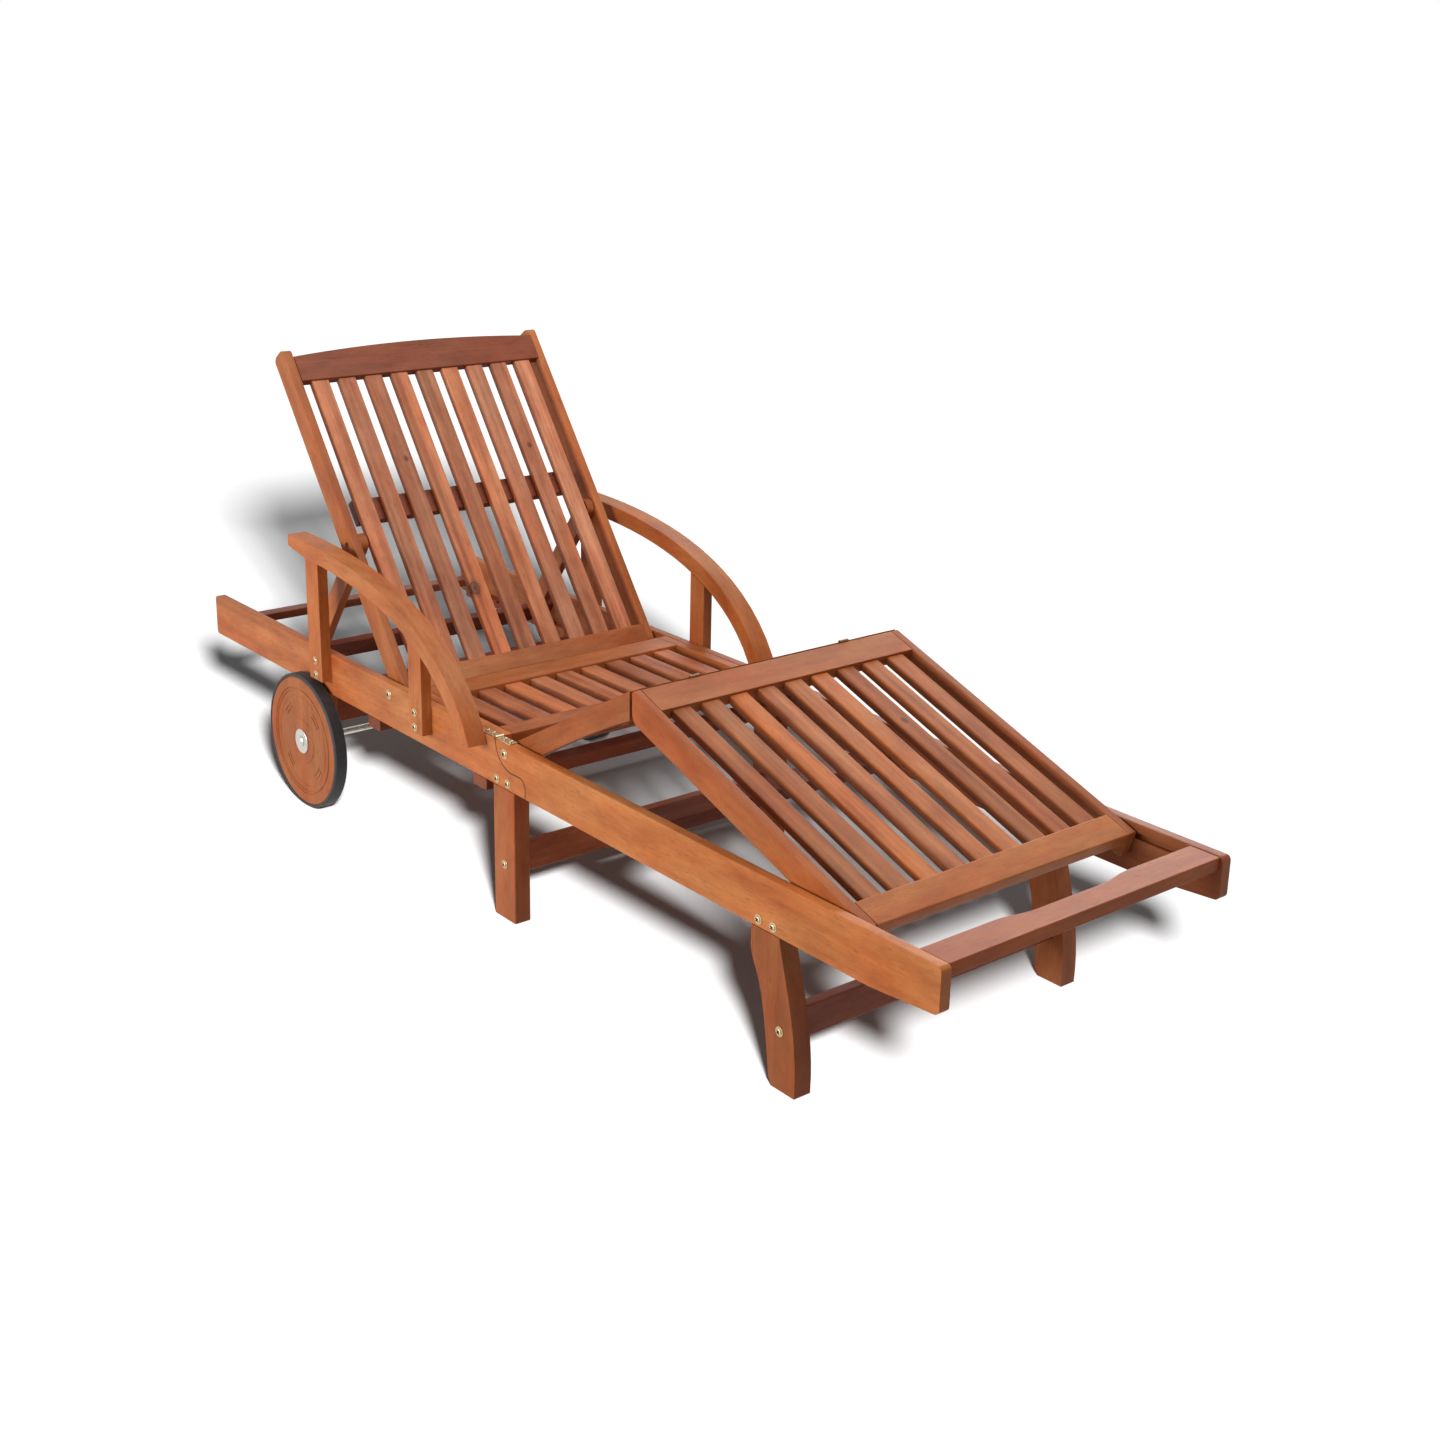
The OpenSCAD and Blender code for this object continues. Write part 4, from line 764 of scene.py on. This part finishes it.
class LOUNGER_OT_backrest(bpy.types.Operator):
    """Dress the backrest and its prop"""

    bl_idname = "lounger.backrest"
    bl_label = "Backrest"

    def execute(self, context):
        dress_boards(["backrest_stile_left", "backrest_stile_right"], "frame", "hardwood", lean=BACK_LEAN)
        dress_boards(["backrest_low_rail"], "frame", "hardwood", grain="Y", lean=BACK_LEAN)
        dark = ["backrest_crest_rail", "backrest_mid_batten"]
        dress_boards(dark, "dark", "hardwood_dark", grain="Y", lean=BACK_LEAN)
        dress_slats("backrest_slats", lean=BACK_LEAN, knots=BACK_KNOTS)
        dress_boards(["prop_struts"], "frame", "hardwood", lean=PROP_LEAN, boards=SIDE_PAIR)
        dress_boards(["prop_foot_bar"], "dark", "hardwood_dark", grain="Y", lean=PROP_LEAN)
        return {"FINISHED"}


class LOUNGER_OT_leg_rest(bpy.types.Operator):
    """Dress the two panels of the leg rest and the foot handle"""

    bl_idname = "lounger.leg_rest"
    bl_label = "Leg rest"

    def execute(self, context):
        dress_boards(["thigh_stiles"], "frame", "hardwood", lean=THIGH_LEAN, boards=SIDE_PAIR)
        thigh_rails = ["thigh_rear_rail", "thigh_knee_rail"]
        dress_boards(thigh_rails, "frame", "hardwood", grain="Y", lean=THIGH_LEAN)
        dress_slats("thigh_slats", lean=THIGH_LEAN)
        dress_boards(["calf_stiles"], "frame", "hardwood", lean=CALF_LEAN, boards=SIDE_PAIR)
        calf_rails = ["calf_knee_rail", "calf_low_rail"]
        dress_boards(calf_rails, "frame", "hardwood", grain="Y", lean=CALF_LEAN)
        dress_slats("calf_slats", lean=CALF_LEAN, knots=CALF_KNOTS)
        dress_boards(["foot_handle"], "frame", "hardwood", grain="Y")
        return {"FINISHED"}


# Each wheel's own cut of the wood
WHEEL_SEEDS = {"left": 21, "right": 22}


class LOUNGER_OT_wheels(bpy.types.Operator):
    """Dress the wheels, the axle and its caps"""

    bl_idname = "lounger.wheels"
    bl_label = "Wheels"

    def execute(self, context):
        for side, seed in WHEEL_SEEDS.items():
            disc = f"wheel_disc_{side}"
            # The wheel's tint holds painted light and shade as well as its own tone
            material = wood(f"wheel {side} wood", "frame", "Z", seed=seed, tint_and_painted_light=BOARD_TONES_AND_PAINTED_LIGHT[disc])
            dress([disc], material)
        dress(["tyre_left", "tyre_right"], rubber())
        zinc = plating("zinc plating", context.scene.lounger_metal.zinc)
        dress(["wheel_axle", "hub_spacers", "hub_caps", "calf_foot_pins"], zinc)
        return {"FINISHED"}


# Turned screws


# Sizes of screws, bolts and their washers, in metres
HEAD_HEIGHT = 0.0032
WASHER_THICK = 0.0012
WASHER_RIM = 0.0025
RECESS_DEEP = 0.0018

# Shares: the washer's soft edge of its thickness, the dome's rings and the cross of the head,
# and the recess's floor of its mouth
WASHER_SOFT = 0.3
DOME = ((0.62, 1.0), (0.84, 0.92), (0.96, 0.82), (1.0, 0.74))
CROSS_ARM = 0.66
CROSS_HALF_WIDTH = 0.24
RECESS_TAPER = 0.8

# The fold hinges' small screws, in metres: the head's rings as height and radius, its cross's arm
# and half width, the recess's floor, and how far the heads sink into the leaf
LEAF_HEAD = ((0, 0.0034), (0.0006, 0.0034), (0.0011, 0.0027), (0.0012, 0.0024))
LEAF_CROSS = (0.0021, 0.0006)
LEAF_FLOOR = 0.0003
LEAF_SINK = 0.0008
LEAF_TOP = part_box("fold_hinge_rear_leaves")[1].z - LEAF_SINK

# Where the two screws sit, as shares of a leaf's length
LEAF_SCREWS = (0.4, 0.8)

# Angles in each quarter of a turned ring, in degrees, besides those of the cross's corners
QUARTER_STEPS = (24, 34, 45, 56, 66)

# Each screwed node and the radius of its shanks
SHANKS = {
    "arm_post_screws": 0.0030, "middle_leg_screws": 0.0030, "front_leg_screws": 0.0030,
    "backrest_pivot_bolts": 0.0040, "leg_rest_pivot_bolts": 0.0040,
}


def cross_ways(arm, half_width):
    """Angles round a cross recess, through its corners, and how far the cross reaches at each."""
    corner = math.degrees(math.atan2(half_width, arm))
    ways = []
    radii = []
    for quarter in range(4):
        for angle in (0, corner, *QUARTER_STEPS, 90 - corner):
            near = math.radians(min(angle, 90 - angle))
            ways.append(math.radians(90 * quarter + angle))
            flank = half_width / math.sin(near) if angle else arm
            radii.append(min(flank, arm / math.cos(near)))
    return ways, radii


def turn_body(mesh, place, outward, ways, rings):
    """Adds a closed body turned about outward; each ring is its height and its radius or radii.

    The last ring closes the recess, whose faces take the second material, which paints shade into the
    recess.
    """
    side = outward.orthogonal().normalized()
    up = outward.cross(side)
    loops = []
    for height, radius in rings:
        radii = radius if isinstance(radius, list) else [radius] * len(ways)
        loops.append([
            mesh.verts.new(place + outward * height + (side * math.cos(way) + up * math.sin(way)) * far)
            for way, far in zip(ways, radii)
        ])
    for low, high in zip(loops, loops[1:]):
        for i in range(len(ways)):
            j = (i + 1) % len(ways)
            face = mesh.faces.new((low[i], low[j], high[j], high[i]))
            face.material_index = int(high is loops[-1])
    mesh.faces.new(loops[0][::-1])
    mesh.faces.new(loops[-1]).material_index = 1


def tapered(radii):
    """The floor of a cross recess, a little narrower than its mouth."""
    return [radius * RECESS_TAPER for radius in radii]


def screw_body(mesh, place, outward, washer, shank, length):
    """Adds a domed screw with a cross recess on a washer with softened edges."""
    head = washer - WASHER_RIM
    ways, cross = cross_ways(head * CROSS_ARM, head * CROSS_HALF_WIDTH)
    soft = WASHER_THICK * WASHER_SOFT
    turn_body(mesh, place, outward, ways, [
        (-length, shank), (0, shank), (0, washer - soft), (soft, washer), (WASHER_THICK - soft, washer),
        (WASHER_THICK, washer - soft), (WASHER_THICK, head),
        *[(HEAD_HEIGHT * height, head * radius) for height, radius in DOME],
        (HEAD_HEIGHT, cross), (HEAD_HEIGHT - RECESS_DEEP, tapered(cross)),
    ])


def leaf_screws(mesh, low, high, rear):
    """Adds small cross-head screws on the two plain heads of a hinge leaf."""
    far = low.x if rear else high.x
    ways, cross = cross_ways(*LEAF_CROSS)
    recess = [(LEAF_HEAD[-1][0], cross), (LEAF_FLOOR, tapered(cross))]
    for share in LEAF_SCREWS:
        place = Vector((far * share, (low.y + high.y) / 2, LEAF_TOP))
        turn_body(mesh, place, Vector((0, 0, 1)), ways, [*LEAF_HEAD, *recess])


def loose_parts(name):
    """The lowest and highest corners of each separate body in a CAD node."""
    mesh = bmesh.new()
    mesh.from_mesh(NODES[name].data)
    bmesh.ops.remove_doubles(mesh, verts=mesh.verts, dist=WELD_REACH)
    waiting = set(mesh.verts)
    parts = []
    while waiting:
        frontier = [waiting.pop()]
        places = []
        while frontier:
            vert = frontier.pop()
            places.append(vert.co.copy())
            for other in (link.other_vert(vert) for link in vert.link_edges):
                if other in waiting:
                    waiting.remove(other)
                    frontier.append(other)
        parts.append([Vector([pick(co[i] for co in places) for i in range(3)]) for pick in (min, max)])
    mesh.free()
    return sorted(parts, key=lambda corners: tuple(corners[0]))


def new_piece(name, mesh, materials, body):
    """A piece of the lounger from a bmesh, with its finish and the body that it rides on."""
    bmesh.ops.recalc_face_normals(mesh, faces=mesh.faces)
    for face in mesh.faces:
        face.smooth = False
    data = bpy.data.meshes.new(name)
    mesh.to_mesh(data)
    mesh.free()
    for material in materials:
        data.materials.append(material)
    piece = bpy.data.objects.new(name, data)
    bpy.context.scene.collection.objects.link(piece)
    piece.modifiers.new("shading", "NODES").node_group = shading_group()
    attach(piece, body)
    return piece


class LOUNGER_OT_screws(bpy.types.Operator):
    """Make the screws and pivot bolts with their washers"""

    bl_idname = "lounger.screws"
    bl_label = "Screws and bolts"

    def execute(self, context):
        settings = context.scene.lounger_metal
        # The second material is a dark colour painted into the cross recesses as their shade
        metals = (plating("screw brass", settings.brass), plating("screw recess", settings.old_brass_and_recess_shade))
        for name, shank in SHANKS.items():
            mesh = bmesh.new()
            for low, high in loose_parts(name):
                outward = Vector((0, 1 if low.y + high.y > 0 else -1, 0))
                washer = (high.z - low.z) / 2
                place = (low + high) / 2
                place.y = outward.y * (max(abs(low.y), abs(high.y)) - HEAD_HEIGHT)
                screw_body(mesh, place, outward, washer, shank, high.y - low.y - HEAD_HEIGHT)
            body = NODES[name]["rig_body"]
            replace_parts(new_piece(name + "_turned", mesh, metals, body), name)
        for end, body in (("rear", "rear_frame"), ("front", "front_frame")):
            mesh = bmesh.new()
            for low, high in loose_parts(f"fold_hinge_{end}_leaves"):
                leaf_screws(mesh, low, high, end == "rear")
            new_piece(f"fold_hinge_{end}_screws", mesh, metals, body)
        return {"FINISHED"}


class LOUNGER_OT_fittings(bpy.types.Operator):
    """Dress hinges and pins"""

    bl_idname = "lounger.fittings"
    bl_label = "Hinges and pins"

    def execute(self, context):
        settings = context.scene.lounger_metal
        brass = plating("hinge brass", settings.brass)
        fold_hinges = ["fold_hinge_rear_leaves", "fold_hinge_front_leaves", "fold_hinge_pins"]
        dress(fold_hinges, brass)
        old_brass_and_recess_shade = plating("old brass", settings.old_brass_and_recess_shade)
        names = ["knee_hinge_thigh_leaves", "knee_hinge_calf_leaves", "knee_hinge_pins", "prop_pivot_pins"]
        dress(names, old_brass_and_recess_shade)
        return {"FINISHED"}


# Stage


# The camera's place, the way that it looks, its turn about that way, its shift and its sensor in mm
CAMERA_PLACE = (2.4772, -1.8625, 1.3877)
CAMERA_AZIMUTH = math.radians(139.223)
CAMERA_DIP = math.radians(18.268)
CAMERA_ROLL = math.radians(1.683)
CAMERA_SHIFT = (-0.0306, -0.0332)
SENSOR_WIDTH = 36.0

# Lamps on the lounger alone: name, power setting, place, target and size
PANEL_LAMPS = (
    ("top lamp", "top_power", (1.0, 0.5, 3.2), (0.0, 0.0, 0.3), (2.6, 2.2)),
    ("near lamp", "near_power", (-0.2, -3.4, 1.1), (0.0, 0.0, 0.35), (2.6, 1.2)),
    ("far lamp", "far_power", (-1.6, 3.0, 1.8), (0.0, 0.0, 0.3), (2.0, 1.6)),
)

# The lamp on the floor alone, and the floor's colour where the camera sees it
SHADOW_LAMP_PLACE = (3.5, -2.1, 2.4)
SHADOW_LAMP_RADIUS = 0.24
FLOOR_WHITE = 0.56


def receivers(name, floor, state):
    """A collection that limits a lamp to the floor, or keeps the floor out of its light."""
    group = bpy.data.collections.new(name)
    group.objects.link(floor)
    for item in group.collection_objects:
        item.light_linking.link_state = state
    return group


def place_lamp(data, place, target, group):
    """Sets up a lamp that shines from place to target on what its group says."""
    obj = bpy.data.objects.new(data.name, data)
    bpy.context.scene.collection.objects.link(obj)
    obj.location = place
    obj.rotation_euler = (Vector(target) - Vector(place)).to_track_quat("-Z", "Y").to_euler()
    obj.light_linking.receiver_collection = group
    obj.visible_camera = False


def panel_lamp(name, power, place, target, size, group):
    """A rectangular soft lamp that lights the lounger."""
    data = bpy.data.lights.new(name, "AREA")
    data.shape = "RECTANGLE"
    data.size, data.size_y = size
    data.energy = power
    place_lamp(data, place, target, group)


def floor_lamp(strength, group):
    """A lamp that lights the whole floor evenly, so only the lounger's shadow shows on it."""
    data = bpy.data.lights.new("shadow lamp", "POINT")
    data.shadow_soft_size = SHADOW_LAMP_RADIUS
    data.energy = 1.0
    data.use_nodes = True
    paint = Paint(data.node_tree)
    level = {"Strength": strength / SHADOW_LAMP_PLACE[2]}
    even = paint.node("ShaderNodeLightFalloff", {}, level, "Constant")
    far = paint.node("ShaderNodeLightPath", {}, {}, "Ray Length")
    paint.close(paint.node("ShaderNodeEmission", {}, {"Strength": even * far}), "ShaderNodeOutputLight")
    place_lamp(data, SHADOW_LAMP_PLACE, (0.0, 0.0, 0.0), group)


def floor_material(back):
    """White floor that keeps the lounger's shadow and sheds little light back on the lounger."""
    paint = new_material("studio floor")
    dull, white = [
        paint.node("ShaderNodeBsdfDiffuse", {}, {"Color": rgba([level] * 3)})
        for level in (back, FLOOR_WHITE)
    ]
    return paint.close(paint.node("ShaderNodeMixShader", {}, {0: paint.seen(), 1: dull, 2: white}))


def white_sky(level):
    """Even light from all round, which the camera and reflections see as plain white."""
    world = bpy.data.worlds.new("studio")
    world.use_nodes = True
    paint = Paint(world.node_tree, world)
    strength = paint.seen() * (1.0 - level) + level
    sky = paint.node("ShaderNodeBackground", {}, {"Color": rgba(PLAIN), "Strength": strength})
    return paint.close(sky, "ShaderNodeOutputWorld")


def studio_floor(settings):
    """The floor: one square face with the studio floor's material."""
    mesh = bpy.data.meshes.new("studio_floor")
    half = settings.floor_size / 2
    corners = [(-half, -half, 0), (half, -half, 0), (half, half, 0), (-half, half, 0)]
    mesh.from_pydata(corners, [], [(0, 1, 2, 3)])
    mesh.materials.append(floor_material(settings.floor_back))
    floor = bpy.data.objects.new("studio_floor", mesh)
    bpy.context.scene.collection.objects.link(floor)
    return floor


def camera_matrix():
    """The camera's place and turn, from the direction that it looks in and its roll."""
    level = math.cos(CAMERA_DIP)
    ahead = (level * math.cos(CAMERA_AZIMUTH), level * math.sin(CAMERA_AZIMUTH), -math.sin(CAMERA_DIP))
    look = Vector(ahead)
    right = look.cross(Vector((0, 0, 1))).normalized()
    up = right.cross(look)
    side = math.cos(CAMERA_ROLL) * right + math.sin(CAMERA_ROLL) * up
    top = -math.sin(CAMERA_ROLL) * right + math.cos(CAMERA_ROLL) * up
    turn = Matrix((side, top, -look)).transposed().to_4x4()
    return Matrix.Translation(CAMERA_PLACE) @ turn


class LOUNGER_OT_stage(bpy.types.Operator):
    """Build the floor, the lamps, the sky and the camera"""

    bl_idname = "lounger.stage"
    bl_label = "Stage"

    def execute(self, context):
        scene = context.scene
        settings = scene.lounger_stage
        floor = studio_floor(settings)
        floor_only = receivers("floor only", floor, "INCLUDE")
        not_floor = receivers("all but the floor", floor, "EXCLUDE")
        floor_lamp(settings.floor_light, floor_only)
        for name, power, place, target, size in PANEL_LAMPS:
            panel_lamp(name, getattr(settings, power), place, target, size, not_floor)
        scene.world = white_sky(settings.sky)

        data = bpy.data.cameras.new("camera")
        data.sensor_width = SENSOR_WIDTH
        data.lens = settings.lens
        data.shift_x, data.shift_y = CAMERA_SHIFT
        camera = bpy.data.objects.new("camera", data)
        scene.collection.objects.link(camera)
        camera.matrix_world = camera_matrix()
        scene.camera = camera
        scene.view_settings.view_transform = "Standard"
        return {"FINISHED"}


class LOUNGER_PT_panel(bpy.types.Panel):
    """Lists the settings and the steps"""

    bl_idname = "LOUNGER_PT_panel"
    bl_label = "Folding Sun Lounger"
    bl_space_type = "VIEW_3D"
    bl_region_type = "UI"
    bl_category = "Lounger"

    def draw(self, context):
        for name, group in GROUPS.items():
            settings = getattr(context.scene, name)
            for key in group.__annotations__:
                self.layout.prop(settings, key)
        for step in STEPS:
            self.layout.operator(step.bl_idname)


STEPS = (
    LOUNGER_OT_stage, LOUNGER_OT_rails, LOUNGER_OT_legs, LOUNGER_OT_armrests, LOUNGER_OT_seat,
    LOUNGER_OT_backrest, LOUNGER_OT_leg_rest, LOUNGER_OT_wheels, LOUNGER_OT_screws,
    LOUNGER_OT_fittings,
)
CLASSES = (*GROUPS.values(), *STEPS, LOUNGER_PT_panel)


def register():
    for kind in CLASSES:
        bpy.utils.register_class(kind)
    for name, group in GROUPS.items():
        setattr(bpy.types.Scene, name, bpy.props.PointerProperty(type=group))


def unregister():
    for name in GROUPS:
        delattr(bpy.types.Scene, name)
    for kind in reversed(CLASSES):
        bpy.utils.unregister_class(kind)


def main():
    """Registers the add-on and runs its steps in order."""
    register()
    for step in STEPS:
        family, action = step.bl_idname.split(".")
        getattr(getattr(bpy.ops, family), action)()


if __name__ == "__main__":
    main()
